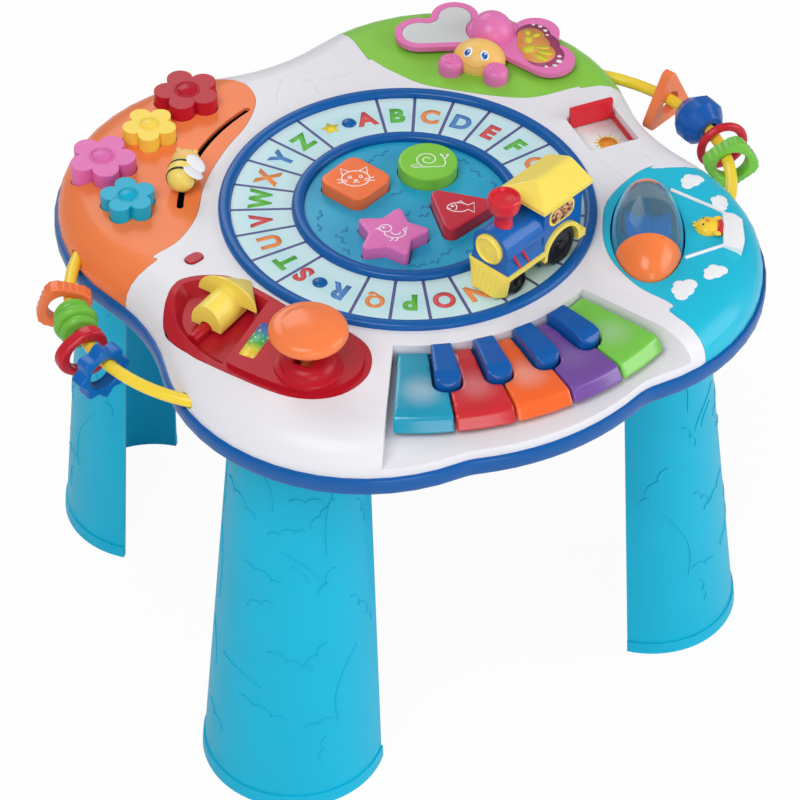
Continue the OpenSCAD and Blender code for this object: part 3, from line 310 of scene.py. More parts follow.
def soften(node, finish, cell=0.8, passes=10):
    """Gives a carried-over node its finish and pillowy edges."""
    part = dress(node, finish)
    part.modifiers.remove(part.modifiers["creases"])
    even = part.modifiers.new("even_mesh", "REMESH")
    even.mode = "VOXEL"
    even.voxel_size = cell * MM
    even.use_smooth_shade = True
    melt = part.modifiers.new("melt", "SMOOTH")
    melt.factor = 0.5
    melt.iterations = passes


def spun(form, section, steps):
    """Takes a section once round Z and closes it."""
    bmesh.ops.spin(form, geom=section, cent=(0, 0, 0), axis=(0, 0, 1),
                   angle=2 * math.pi, steps=steps, use_merge=True)
    bmesh.ops.remove_doubles(form, verts=form.verts, dist=0.001)
    bmesh.ops.recalc_face_normals(form, faces=form.faces)
    return form


def turning(profile, steps=48):
    """Form turned about Z from a profile of radius and height."""
    form = bmesh.new()
    points = [form.verts.new((r, 0, z)) for r, z in profile]
    edges = [form.edges.new(pair) for pair in zip(points, points[1:])]
    return spun(form, points + edges, steps)


def plate(outline, low, high, soft=0.0, steps=4, inset=0.0, sink=0.0):
    """Flat form with an outline seen from above, its upper edge rounded over."""
    form = bmesh.new()
    points = [form.verts.new((x, y, low)) for x, y in outline]
    base = form.faces.new(points)
    if base.normal.z > 0:
        base.normal_flip()
    raised = bmesh.ops.extrude_face_region(form, geom=[base])["geom"]
    bmesh.ops.translate(form, vec=(0, 0, high - low),
                        verts=[v for v in raised if isinstance(v, bmesh.types.BMVert)])
    form.normal_update()
    bmesh.ops.recalc_face_normals(form, faces=form.faces)
    top = max(form.faces, key=lambda face: face.calc_center_median().z)
    if inset:
        bmesh.ops.inset_region(form, faces=[top], thickness=inset, depth=0)
        bmesh.ops.translate(form, vec=(0, 0, -sink), verts=top.verts)
    if soft:
        bmesh.ops.bevel(form, geom=[e for e in form.edges if e.is_valid
                                    and all(abs(v.co.z - high) < 1e-4 for v in e.verts)
                                    and any(abs(f.normal.z) < 0.1 for f in e.link_faces)],
                        affect="EDGES", offset=soft, offset_type="OFFSET", segments=steps,
                        profile=0.5, material=-1)
    bmesh.ops.recalc_face_normals(form, faces=form.faces)
    return form


def ball(a, b, c, segments=32, rings=20):
    form = bmesh.new()
    bmesh.ops.create_uvsphere(form, u_segments=segments, v_segments=rings, radius=1)
    form.transform(spread(a, b, c))
    return form


def ring(major, minor, steps=48, flat=1.0, tall=1.0):
    """Round ring about Z with an oval section."""
    form = bmesh.new()
    bmesh.ops.create_circle(form, segments=16, radius=1)
    form.transform(moved(major, 0, 0) @ spread(minor * flat, 1, minor * tall)
                   @ turned(90, "X"))
    return spun(form, form.verts[:] + form.edges[:], steps)


def together(*forms):
    """One form of several, each given alone or with its place."""
    whole = bmesh.new()
    for form in forms:
        form, place = form if isinstance(form, tuple) else (form, None)
        if place is not None:
            put(form, place)
        spare = bpy.data.meshes.new("spare")
        form.to_mesh(spare)
        form.free()
        whole.from_mesh(spare)
        bpy.data.meshes.remove(spare)
    return whole


def placed(place, parts):
    """One form of parts that each have their own place within another one."""
    return together(*[(form, place @ own) for form, own in parts])


def form_of(curve):
    """Form of a curve or a letter, which is then removed."""
    holder = bpy.data.objects.new(curve.name, curve)
    scene.collection.objects.link(holder)
    bpy.context.view_layer.update()
    mesh = bpy.data.meshes.new_from_object(holder.evaluated_get(
        bpy.context.evaluated_depsgraph_get()))
    bpy.data.objects.remove(holder)
    bpy.data.curves.remove(curve)
    form = bmesh.new()
    form.from_mesh(mesh)
    bpy.data.meshes.remove(mesh)
    return form


def beads_of(strokes, radius, closed=False, flat=1.0, ends=True):
    """Round strokes along lists of points, flattened towards their plane."""
    curve = bpy.data.curves.new("strokes", "CURVE")
    curve.dimensions = "3D"
    curve.bevel_depth = radius
    curve.bevel_resolution = 2
    curve.use_fill_caps = ends
    for stroke in strokes:
        shut = closed
        if isinstance(stroke, tuple) and stroke and isinstance(stroke[0], bool):
            shut, stroke = stroke
        line = curve.splines.new("POLY")
        line.points.add(len(stroke) - 1)
        for point, place in zip(line.points, stroke):
            x, y, z = (tuple(place) + (0.0,))[:3]
            point.co = (x, y, z, 1)
        line.use_cyclic_u = shut
    form = form_of(curve)
    form.transform(spread(1, 1, flat))
    bmesh.ops.remove_doubles(form, verts=form.verts, dist=0.0005)
    bmesh.ops.recalc_face_normals(form, faces=form.faces)
    return form


def glyph(letter, height, bold=0.045):
    """A bold letter about the origin, its foot towards -Y."""
    curve = bpy.data.curves.new("glyph", "FONT")
    curve.body = letter
    curve.align_x = "CENTER"
    curve.align_y = "CENTER"
    curve.offset = bold
    curve.resolution_u = 4
    curve.extrude = 0.004
    form = form_of(curve)
    bmesh.ops.remove_doubles(form, verts=form.verts, dist=0.0001)
    xs = [v.co.x for v in form.verts]
    ys = [v.co.y for v in form.verts]
    grow = height / (max(ys) - min(ys))
    form.transform(spread(grow, grow, grow)
                   @ moved(-(max(xs) + min(xs)) / 2, -(max(ys) + min(ys)) / 2, 0))
    return form


class Skin:
    """The upper surface of some carried-over nodes, to lay prints and reliefs on."""

    def __init__(self, *nodes):
        whole = bmesh.new()
        for node in nodes:
            whole.from_mesh(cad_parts[node].data)
        bmesh.ops.remove_doubles(whole, verts=whole.verts, dist=1e-6)
        self.tree = BVHTree.FromBMesh(whole)
        whole.free()

    def height(self, x, y):
        hit = self.tree.ray_cast(Vector((x * MM, y * MM, 0.5)), Vector((0, 0, -1)))[0]
        return hit.z / MM if hit else DECK

    def lay(self, form):
        """Lifts a form that was drawn about z = 0 onto the surface."""
        for vert in form.verts:
            vert.co.z += self.height(vert.co.x, vert.co.y)
        return form


# ---- camera, light and floor ----

def stand_camera():
    lens = bpy.data.cameras.new("camera")
    lens.sensor_width = 36
    lens.lens = 148.4
    lens.clip_start, lens.clip_end = 0.05, 50
    camera = bpy.data.objects.new("camera", lens)
    scene.collection.objects.link(camera)
    right = (0.86658072, -0.49890442, 0.01149973)
    up = (0.32994071, 0.59008057, 0.73684737)
    back = (-0.37440218, -0.63474349, 0.67596133)
    camera.matrix_world = (moved(-0.92977, -1.56973, 1.85588)
                           @ Matrix((right, up, back)).transposed().to_4x4())
    scene.camera = camera


def light(name, place, size, power, target=(0, 0, 0.3)):
    lamp = bpy.data.lights.new(name, "AREA")
    lamp.shape = "SQUARE"
    lamp.size = size
    lamp.energy = power
    holder = bpy.data.objects.new(name, lamp)
    scene.collection.objects.link(holder)
    holder.location = place
    holder.rotation_euler = (Vector(target) - Vector(place)).to_track_quat("-Z", "Y").to_euler()


def studio():
    scene.view_settings.view_transform = "Standard"
    world = bpy.data.worlds.new("studio")
    world.use_nodes = True
    scene.world = world
    nodes, links = world.node_tree.nodes, world.node_tree.links
    nodes.clear()
    path = nodes.new("ShaderNodeLightPath")
    seen = nodes.new("ShaderNodeMath")
    seen.operation = "MAXIMUM"
    links.new(path.outputs["Is Camera Ray"], seen.inputs[0])
    links.new(path.outputs["Is Transmission Ray"], seen.inputs[1])
    either = nodes.new("ShaderNodeMixShader")
    links.new(seen.outputs[0], either.inputs[0])
    for slot, colour, strength in ((1, (0.95, 0.97, 1.0, 1), 0.3), (2, (1, 1, 1, 1), 1.0)):
        air = nodes.new("ShaderNodeBackground")
        air.inputs["Color"].default_value = colour
        air.inputs["Strength"].default_value = strength
        links.new(air.outputs[0], either.inputs[slot])
    out = nodes.new("ShaderNodeOutputWorld")
    links.new(either.outputs[0], out.inputs["Surface"])

    floor = bmesh.new()
    bmesh.ops.create_grid(floor, x_segments=4, y_segments=4, size=6)
    mesh = bpy.data.meshes.new("floor")
    floor.to_mesh(mesh)
    floor.free()
    stand = bpy.data.objects.new("floor", mesh)
    scene.collection.objects.link(stand)
    pale = Finish("floor_pale")
    pale.set(Base_Color=(0.9, 0.9, 0.9, 1), Roughness=0.9)
    whiter = pale.add("ShaderNodeLightPath") * 0.95
    both = pale.add("ShaderNodeMixShader", {}, {0: whiter, 1: Line(pale, pale.shader.outputs[0]),
                                                2: pale.add("ShaderNodeEmission")})
    pale.join(pale.tree.nodes["Material Output"].inputs["Surface"], both)
    mesh.materials.append(pale.material)

    light("key", (-1.3, -0.8, 2.4), 1.4, 34)
    light("fill", (2.0, -1.4, 1.2), 1.7, 29)
    light("front", (-0.6, -2.6, 0.8), 1.3, 15)
    light("back", (0.3, 2.2, 1.9), 1.4, 17)


# ---- letter track ----

INNER, OUTER = 82.8, 126.0
CELL = 13.09
CELL_LEFT = 13.34
LETTER_R = 105.2
DOT_R = 104.5


def letter_places():
    """Angle and ink of every letter, clockwise from the double cell with the star."""
    inks = dict(zip("ABCDEFGHIJKLMNOPQRSTUVWXYZ", "rgobrgobrgobrorgobrgorgobg"))
    places = [("A", 76.8), ("R", 212.6), ("S", 196.4)]
    places += [(letter, 64.05 - CELL * i) for i, letter in enumerate("BCDEFGHIJKLMNOPQ")]
    places += [(letter, 186.4 - CELL_LEFT * i) for i, letter in enumerate("TUVWXYZ")]
    return [(letter, a, inks[letter]) for letter, a in places]


def letter_track():
    by_ink = {}
    for letter, angle, ink in letter_places():
        form = glyph(letter, 16.8, 0.05)
        place = spot(LETTER_R, angle, 0.02, angle - 90) @ spread(0.92, 1, 1)
        by_ink.setdefault(ink, []).append((form, place))
    for ink, forms in by_ink.items():
        name, paint = LETTER_INKS[ink]
        finished("letters_" + name, together(*forms), paint, "table", 0)

    lines = []
    angles = [70.6 - CELL * i for i in range(17)] + [99.65 + CELL_LEFT * i for i in range(8)]
    for angle in angles:
        form = bmesh.new()
        bmesh.ops.create_grid(form, x_segments=8, y_segments=1, size=1)
        form.transform(spread((OUTER - INNER) / 2, 1.15, 1))
        lines.append((form, spot((OUTER + INNER) / 2, angle, 0.06, angle)))
    finished("cell_lines", together(*lines), printed("ink_navy", hue(84, 82, 138)), "table",
             0)

    dots = [(ball(5.3, 5.3, 2.4, 28, 14), spot(DOT_R, angle)) for angle in (84.3, 204.4)]
    finished("track_dots", together(*dots), BLUE, "table", 0)

    star = [polar(7.4 if i % 2 == 0 else 4.2, 36 * i) for i in range(10)]
    finished("star_mark", plate([(p.x, p.y) for p in star], 0, 0.12), printed(
        "ink_yellow", hue(246, 220, 60)), "table", 0,
        spot(LETTER_R, 92.4, 0, 12))


def band_paint(finish, here, base):
    """Pale cells that lighten a little towards the rings."""
    x, y = finish.split(here)[:2]
    radius = finish.add("ShaderNodeVectorMath", {"operation": "LENGTH"},
                        {0: finish.add("ShaderNodeCombineXYZ", {}, {"X": x, "Y": y})}, 1)
    edge = abs(radius - (INNER + OUTER) / 2 * MM) * 40.0
    return finish.mix(edge, base, hue(214, 238, 240))


# ---- pond ----

def pond_paint(finish, here, base):
    """Water that is lighter in broad drifts."""
    drift = finish.noise(here, 34.0, 2.0, 0.4)
    return finish.mix(drift * 0.55, base, hue(60, 190, 215))


def wave(r, a, length, turn, bumps=1.5, height=1.5):
    centre = polar(r, a)
    points = []
    for i in range(15):
        t = i / 14
        along = (t - 0.5) * length
        across = height * math.sin(2 * math.pi * bumps * t) * (0.6 + 0.4 * math.sin(math.pi * t))
        q = math.radians(turn)
        points.append((centre.x + along * math.cos(q) - across * math.sin(q),
                       centre.y + along * math.sin(q) + across * math.cos(q)))
    return points


def pond():
    marks = [(62, 78, 13, 5), (58, 90, 9, -10), (66, 108, 10, 12), (63, 160, 11, 50),
             (67, 172, 8, 70), (60, 188, 12, 95), (66, 200, 8, 100), (52, 182, 7, 20),
             (66, 246, 11, -20), (64, 258, 8, 0), (58, 268, 11, 15), (66, 284, 12, 10),
             (14, 330, 10, 0), (9, 235, 9, 12), (16, 290, 8, -8), (63, 8, 12, 100),
             (67, 352, 8, 80), (60, 340, 10, 60), (66, 22, 9, 120), (16, 85, 10, 0)]
    strokes = [wave(*mark) for mark in marks]
    finished("water_marks", beads_of(strokes, 0.75, flat=0.5), moulded(
        "pond_line", hue(22, 128, 182), 0.3, 0.2), "table", 40,
        moved(0, 0, DECK))


def button_icons():
    """Simple line pictures of the maker's own on the four buttons."""
    cat = [(True, loop(7.2, 6.2, 24, y=-0.5)), [(-6.4, 2.4), (-6.8, 8.4), (-2.6, 5.4)],
           [(6.4, 2.4), (6.8, 8.4), (2.6, 5.4)], (True, loop(0.8, 1.0, 8, x=-2.8, y=0.8)),
           (True, loop(0.8, 1.0, 8, x=2.8, y=0.8)),
           [(-1.1, -1.6), (1.1, -1.6), (0, -2.7), (-1.1, -1.6)],
           [(0, -2.7), (-1.6, -4.2)], [(0, -2.7), (1.6, -4.2)], [(4.4, -1.5), (9.6, -0.4)],
           [(4.4, -2.6), (9.6, -3.2)], [(-4.4, -1.5), (-9.6, -0.4)], [(-4.4, -2.6), (-9.6, -3.2)]]
    snail = [(False, [(r * math.cos(a), 1.5 + r * math.sin(a)) for a, r in
                      [(i * 0.42, 1.0 + i * 0.27) for i in range(26)]]),
             [(-9.5, -6.2), (9.5, -6.2), (11.2, -3.4), (11.0, 1.4)],
             [(-9.5, -6.2), (-11.5, -4.2), (-7.0, -3.6)], [(11.0, 1.4), (13.0, 4.6)],
             [(11.0, 1.4), (9.4, 5.0)], (True, loop(0.6, 0.6, 8, x=13.2, y=5.3)),
             (True, loop(0.6, 0.6, 8, x=9.1, y=5.7))]
    fish = [loop(8.4, 5.4, 24, 28, 332), [(7.4, 2.5), (12.2, 6.0), (12.2, -6.0), (7.4, -2.5)],
            (True, loop(0.9, 0.9, 8, x=-4.6, y=1.4)), loop(2.4, 4.0, 8, -60, 60, x=-3.6),
            [(-1, 5.2), (2.0, 8.0), (4.4, 4.4)], loop(1.6, 1.2, 6, 200, 330, x=-7.4, y=-0.8)]
    chick = [(True, loop(4.2, 4.0, 20, x=-4.0, y=3.4)), loop(7.4, 5.4, 24, 158, 398, x=2.4, y=-1.8),
             [(-8.0, 4.2), (-11.2, 2.8), (-7.8, 2.2)], (True, loop(0.6, 0.6, 8, x=-5.4, y=4.4)),
             loop(3.0, 2.6, 12, 170, 360, x=3.2, y=-1.0), [(8.1, 1.6), (11.2, 4.6), (10.0, -0.6)],
             [(0.4, -7.0), (0.2, -9.6), (-1.8, -10.2)], [(4.2, -7.0), (4.2, -9.6), (2.2, -10.2)]]
    for name, lines, r, a, turn, grow in (
            ("icon_cat", cat, 42, 123, -22, 1.4), ("icon_snail", snail, 42, 40, -26, 1.12),
            ("icon_fish", fish, 38, 310, -30, 0.92), ("icon_chick", chick, 42, 224, -28, 1.0)):
        form = beads_of([stroke if isinstance(stroke[0], bool) else (False, stroke)
                         for stroke in lines], 0.42 / grow, flat=0.4)
        body = {"icon_cat": "square_button", "icon_snail": "round_button",
                "icon_fish": "triangle_button", "icon_chick": "star_button"}[name]
        finished(name, form, INK_WHITE, body, 40,
                 spot(r, a, 10.0, turn) @ spread(grow, grow, 1))


# ---- train ----

TRAIN_ANGLE, TRAIN_R = 287.6, 103
TRAIN = turned(TRAIN_ANGLE) @ moved(TRAIN_R, 0, DECK) @ turned(-90)
STAND_UP = turned(90, "X")


def train():
    for side in (-1, 1):
        facing = turned(180 if side > 0 else 0) @ STAND_UP
        place = TRAIN @ moved(-26, side * 16.6, 46) @ facing
        hand = "left" if side > 0 else "right"
        finished("window_view_" + hand, plate(rounded_box(22.5, 11.6, 5.2), 0.05, 0.35),
                 window_print(), "train", 0, place)
        stripes = [[(x, 0, 0), (x + 2.2, 0.3, 4.5), (x + 4.3, -0.7, 9), (x + 6.4, -1.3, 14)]
                   for x in (8, 17)]
        finished("side_stripes_" + hand, beads_of(stripes, 1.0),
                 moulded("stripe_red", hue(214, 48, 58), 0.28), "train", 40,
                 TRAIN @ spread(1, side, 1) @ moved(0, 16.4, 22.5))
    cover = finished("cab_roof", roof(20.5, 58.0, 9.5), YELLOW, "train", 24, TRAIN)
    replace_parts(cover, "train_roof")
    finished("lamp_rim", beads_of([(True, loop(9.6, 9.6, 40))], 0.7), YELLOW, "train",
             40, TRAIN @ moved(33, 0, 38) @ turned(90, "Y"))
    for body, x, z, r, big in (("rear_wheels", -27, 15.0, 3.4, 14.7),
                               ("front_wheels", 18, 9.0, 2.2, 8.7)):
        forms = []
        for side in (-1, 1):
            hub = turning([(0, 1.4), (r * 0.7, 1.3), (r, 0.7), (r, -0.6), (0, -0.6)], 28)
            tread = ring(big * 0.86, big * 0.045, 40)
            for form, out in ((hub, 16.2), (tread, 16.0)):
                place = TRAIN @ moved(x, side * out, z) @ turned(-90 * side, "X")
                forms.append((form, place))
        finished(body + "_hubs", together(*forms), BLACK, body, 40)


def roof(half, eave, rise):
    """The cab's roof: two slopes that meet in a soft ridge, and a third one in front."""
    form = bmesh.new()
    rows = []
    for i in range(52):
        x = -53 + i
        row = []
        for j in range(-20, 21):
            side = rise * (1.04 - math.sqrt((j / 20) ** 2 + 0.01))
            front = rise * (-1.6 - x) / 15
            keep = max(0.35 - abs(side - front), 0) / 0.35
            row.append(form.verts.new((x, half * j / 20, eave + 3 + max(
                0, min(side, front) - 0.09 * keep * keep))))
        rows.append(row)
    for a, b in zip(rows, rows[1:]):
        for j in range(40):
            form.faces.new((a[j], b[j], b[j + 1], a[j + 1]))
    edge = (rows[0] + [row[-1] for row in rows[1:]] + rows[-1][-2::-1]
            + [row[0] for row in rows[-2:0:-1]])
    foot = [form.verts.new((v.co.x, v.co.y, eave)) for v in edge]
    for i in range(len(edge)):
        form.faces.new((edge[i - 1], edge[i], foot[i], foot[i - 1]))
    form.faces.new(foot)
    bmesh.ops.recalc_face_normals(form, faces=form.faces)
    return form


def rounded_box(w, h, r, steps=6):
    points = []
    for cx, cy, start in ((w / 2 - r, h / 2 - r, 0), (r - w / 2, h / 2 - r, 90),
                          (r - w / 2, r - h / 2, 180), (w / 2 - r, r - h / 2, 270)):
        points += [(cx + r * math.cos(math.radians(start + 90 * i / steps)),
                    cy + r * math.sin(math.radians(start + 90 * i / steps))) for i in range(steps + 1)]
    return points


@cache
def window_print():
    """Warm mottled print behind the cab's windows."""
    finish = Finish("window_print")
    here = finish.place()
    blot = finish.noise(here, 330.0, 2.0)
    base = finish.add("ShaderNodeValToRGB", {"stops": [
        (0.36, hue(248, 212, 168)), (0.45, hue(226, 160, 104)), (0.52, hue(132, 80, 48)),
        (0.62, hue(80, 48, 32))]}, {"Fac": blot})
    finish.set(Base_Color=base, Roughness=0.4 + 0.1 * blot)
    return finish.material


# ---- the rest of the deck ----

def flowers():
    for name, r, a, size, colour, slot in (
            ("flower_red", 202, 113.6, 24.5, hue(186, 20, 44), "red_plastic"),
            ("flower_yellow", 203.5, 127.4, 20, hue(250, 218, 84), "warm_orange"),
            ("flower_pink", 223.5, 139.6, 24.5, hue(226, 110, 180), "pink_plastic"),
            ("flower_teal", 198.5, 151, 20, hue(8, 172, 206), "teal_plastic")):
        paint = moulded(name + "_plastic", colour, 0.28, 0.15, 0.05)
        dress(name, paint, 1.6, 4)
        finished(name + "_relief", ring(size * 0.36, 0.8, 40, 1, 0.8), paint, name, 50,
                 spot(r, a, 11.0))


def bee():
    place = turned(142) @ moved(162, 0, DECK)
    up = 12.1
    yellow = moulded("bee_yellow", hue(248, 222, 112), 0.3, 0.2)
    face = moulded("bee_peach", hue(250, 205, 128), 0.34, 0.15)
    white = moulded("bee_wing", hue(240, 240, 244), 0.28, 0.25, 0.02)
    lay = moved(0, 4, up) @ turned(90, "X")
    profile = [(11.3 * math.sin(math.pi * i / 28) ** 0.86, -14.4 * math.cos(math.pi * i / 28))
               for i in range(29)]
    stem = turning([(0, -7), (1.9, -7), (1.9, 3), (0, 3)], 20)
    body = [(turning(profile, 40), lay), (stem, Matrix.Identity(4))]
    finished("bee_body", placed(place, body), yellow, "bee", 40)
    bands = []
    for along in (1.5, 9.5):
        t = max(0.0, 1 - (along - 4) ** 2 / 14.4 ** 2)
        bands.append((ring(11.3 * t ** 0.43 - 0.15, 1.0, 44, 0.45, 1.25),
                      moved(0, along, up) @ turned(90, "X")))
    finished("bee_bands", placed(place, bands), SOOT, "bee", 40)
    head = [(ball(10.8, 9.6, 9.8, 32, 20), moved(0, -10, up)),
            (ball(1.9, 1.9, 1.9, 12, 8), moved(-6.2, -14.5, up + 6.6)),
            (ball(1.9, 1.9, 1.9, 12, 8), moved(6.2, -14.5, up + 6.6))]
    finished("bee_head", placed(place, head), face, "bee", 0)
    eyes = [(ball(1.25, 0.7, 1.5, 12, 8), moved(side * 3.7, -18.2, up + 3.6)) for side in (-1, 1)]
    eyes.append((beads_of([[(3.4 * math.cos(q), 0, 2.6 * math.sin(q)) for q in
                            [math.radians(205 + 13 * i) for i in range(11)]]], 0.35),
                 moved(0, -19.0, up + 1.6)))
    finished("bee_face", placed(place, eyes), SOOT, "bee", 0)
    wings = [(ball(8.2, 6.4, 1.5, 28, 12), moved(-9.2, 5 + side * 5.2, up + 7.5)
              @ turned(16 * side) @ turned(-34, "Y")) for side in (-1, 1)]
    finished("bee_wings", placed(place, wings), white, "bee", 40)
    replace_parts(bpy.data.objects["bee_body"], "bee")


def console():
    strip = Finish("spectrum_print")
    here = strip.place(centre=(-0.1775, -0.0895, 0), turn=(0, 0, math.radians(36)))
    x = strip.split(here)[0]
    base = strip.add("ShaderNodeValToRGB", {"stops": [
        (0.0, hue(248, 205, 50)), (0.22, hue(225, 215, 60)), (0.42, hue(95, 180, 75)),
        (0.62, hue(60, 170, 130)), (0.80, hue(80, 130, 200)), (1.0, hue(75, 95, 180))]},
        {"Fac": x * 28.0})
    glint = strip.noise(here, 420.0, 1.0) > 0.66
    strip.set(Base_Color=strip.mix(glint, base, hue(250, 250, 235)), Roughness=0.3)
    form = plate(rounded_box(36, 11.5, 1.2, 3), 0, 0.25)
    finished("spectrum_strip", form, strip.material, "table", 0,
             moved(-163.0, -78.9, DECK + 3.5) @ turned(36))


def balloon():
    axis = spot(171.5, 321.4, -2.5) @ turned(58) @ turned(90, "Y")
    length, radius, wall = 55.0, 25.5, 2.0

    def shell(start, end, grow=0.0, thick=wall, steps=16):
        outer, inner = [], []
        for i in range(steps + 1):
            q = start + (end - start) * i / steps
            s, c = math.sin(math.radians(q)), math.cos(math.radians(q))
            outer.append(((radius + grow) * s * (1 + 0.06 * c), -(length + grow) * c))
            inner.append(((radius + grow - thick) * s * (1 + 0.06 * c), -(length + grow - thick) * c))
        return turning(outer + inner[::-1] + [outer[0]], 64)

    cap = moulded("balloon_orange", hue(246, 128, 66), 0.22, 0.35)
    low = finished("balloon_cap_low", shell(0.5, 61, 0.25), cap, "balloon", 40,
                   axis)
    finished("balloon_cap_high", shell(133, 179.5, 0.15), cap, "balloon", 40, axis)
    finished("balloon_inner_cap", shell(106, 133, -2.6, 1.0), cap, "balloon", 40,
             axis)
    glass = Finish("smoky_window")
    here = glass.place()
    haze = glass.noise(here, 60.0, 2.0)
    glass.set(Base_Color=glass.mix(haze, hue(150, 190, 208), hue(166, 202, 218)),
              Roughness=0.05 + 0.03 * haze)
    # The faint blue emission is painted light: it makes the window glow, though no lamp is inside, so
    # the shaded pocket behind it does not show dark.
    glass.set(Transmission_Weight=0.92, IOR=1.22, Emission_Color=hue(40, 108, 140),
              Emission_Strength=0.22)
    finished("balloon_window", shell(61, 133, 0.0, 1.4), glass.material, "balloon",
             40, axis)
    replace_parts(low, "balloon_barrel")


def basket():
    """Ropes and a basket laid on the cover, with a round chick looking out."""
    skin = Skin("sky_cover")
    paint = moulded("basket_white", hue(242, 242, 244), 0.36, 0.1)
    ropes = []
    for a, b in (((174, -76.5), (193.5, -116.5)), ((141, -144.6), (172.5, -146.5))):
        ropes.append([(a[0] + (b[0] - a[0]) * i / 12, a[1] + (b[1] - a[1]) * i / 12, 0.4)
                      for i in range(13)])
    cords = skin.lay(beads_of(ropes, 1.3))
    shape = [(190.4, -117.6), (196.6, -123), (198.4, -131), (187.5, -150), (178.6, -159),
             (171, -147.6)]
    box = plate(shape[::-1], 363.5, 373.4, 1.1, 3)
    part = finished("basket_and_ropes", together(cords, box), paint, "table", 35)
    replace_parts(part, "balloon_basket")

    seat = moved(173.4, -124.4, DECK - 0.4) @ turned(-35)
    chick = [(ball(9.2, 9.6, 7.0, 32, 18), seat)]
    for side in (1, -1):
        wing = seat @ moved(6.4, side * 8.2, 2.6) @ turned(side * 20)
        tuft = seat @ moved(-9.0, side * 1.4, 3.0) @ turned(side * -20)
        chick += [(ball(3.4, 2.2, 1.8, 16, 10), wing), (ball(2.0, 1.0, 1.2, 12, 8), tuft)]
    paint = moulded("rider_yellow", hue(248, 206, 60), 0.34, 0.15)
    part = finished("chick", together(*chick), paint, "table", 50)
    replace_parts(part, "balloon_rider")
    face = together(*[(ball(0.8, 0.8, 0.7, 12, 8), seat @ moved(-3.4, 3.3 * side, 5.9))
                      for side in (-1, 1)])
    finished("chick_eyes", face, SOOT, "table", 0)
    finished("chick_beak", ball(1.5, 1.7, 1.1, 16, 10),
             moulded("beak_orange", hue(238, 130, 50), 0.3), "table", 0,
             seat @ moved(-0.4, 0, 6.8))
    finished("chick_scarf", ball(3.0, 8.6, 5.0, 24, 14),
             moulded("scarf_red", hue(206, 44, 50), 0.34), "table", 0,
             seat @ moved(9.0, 0, 0.4))


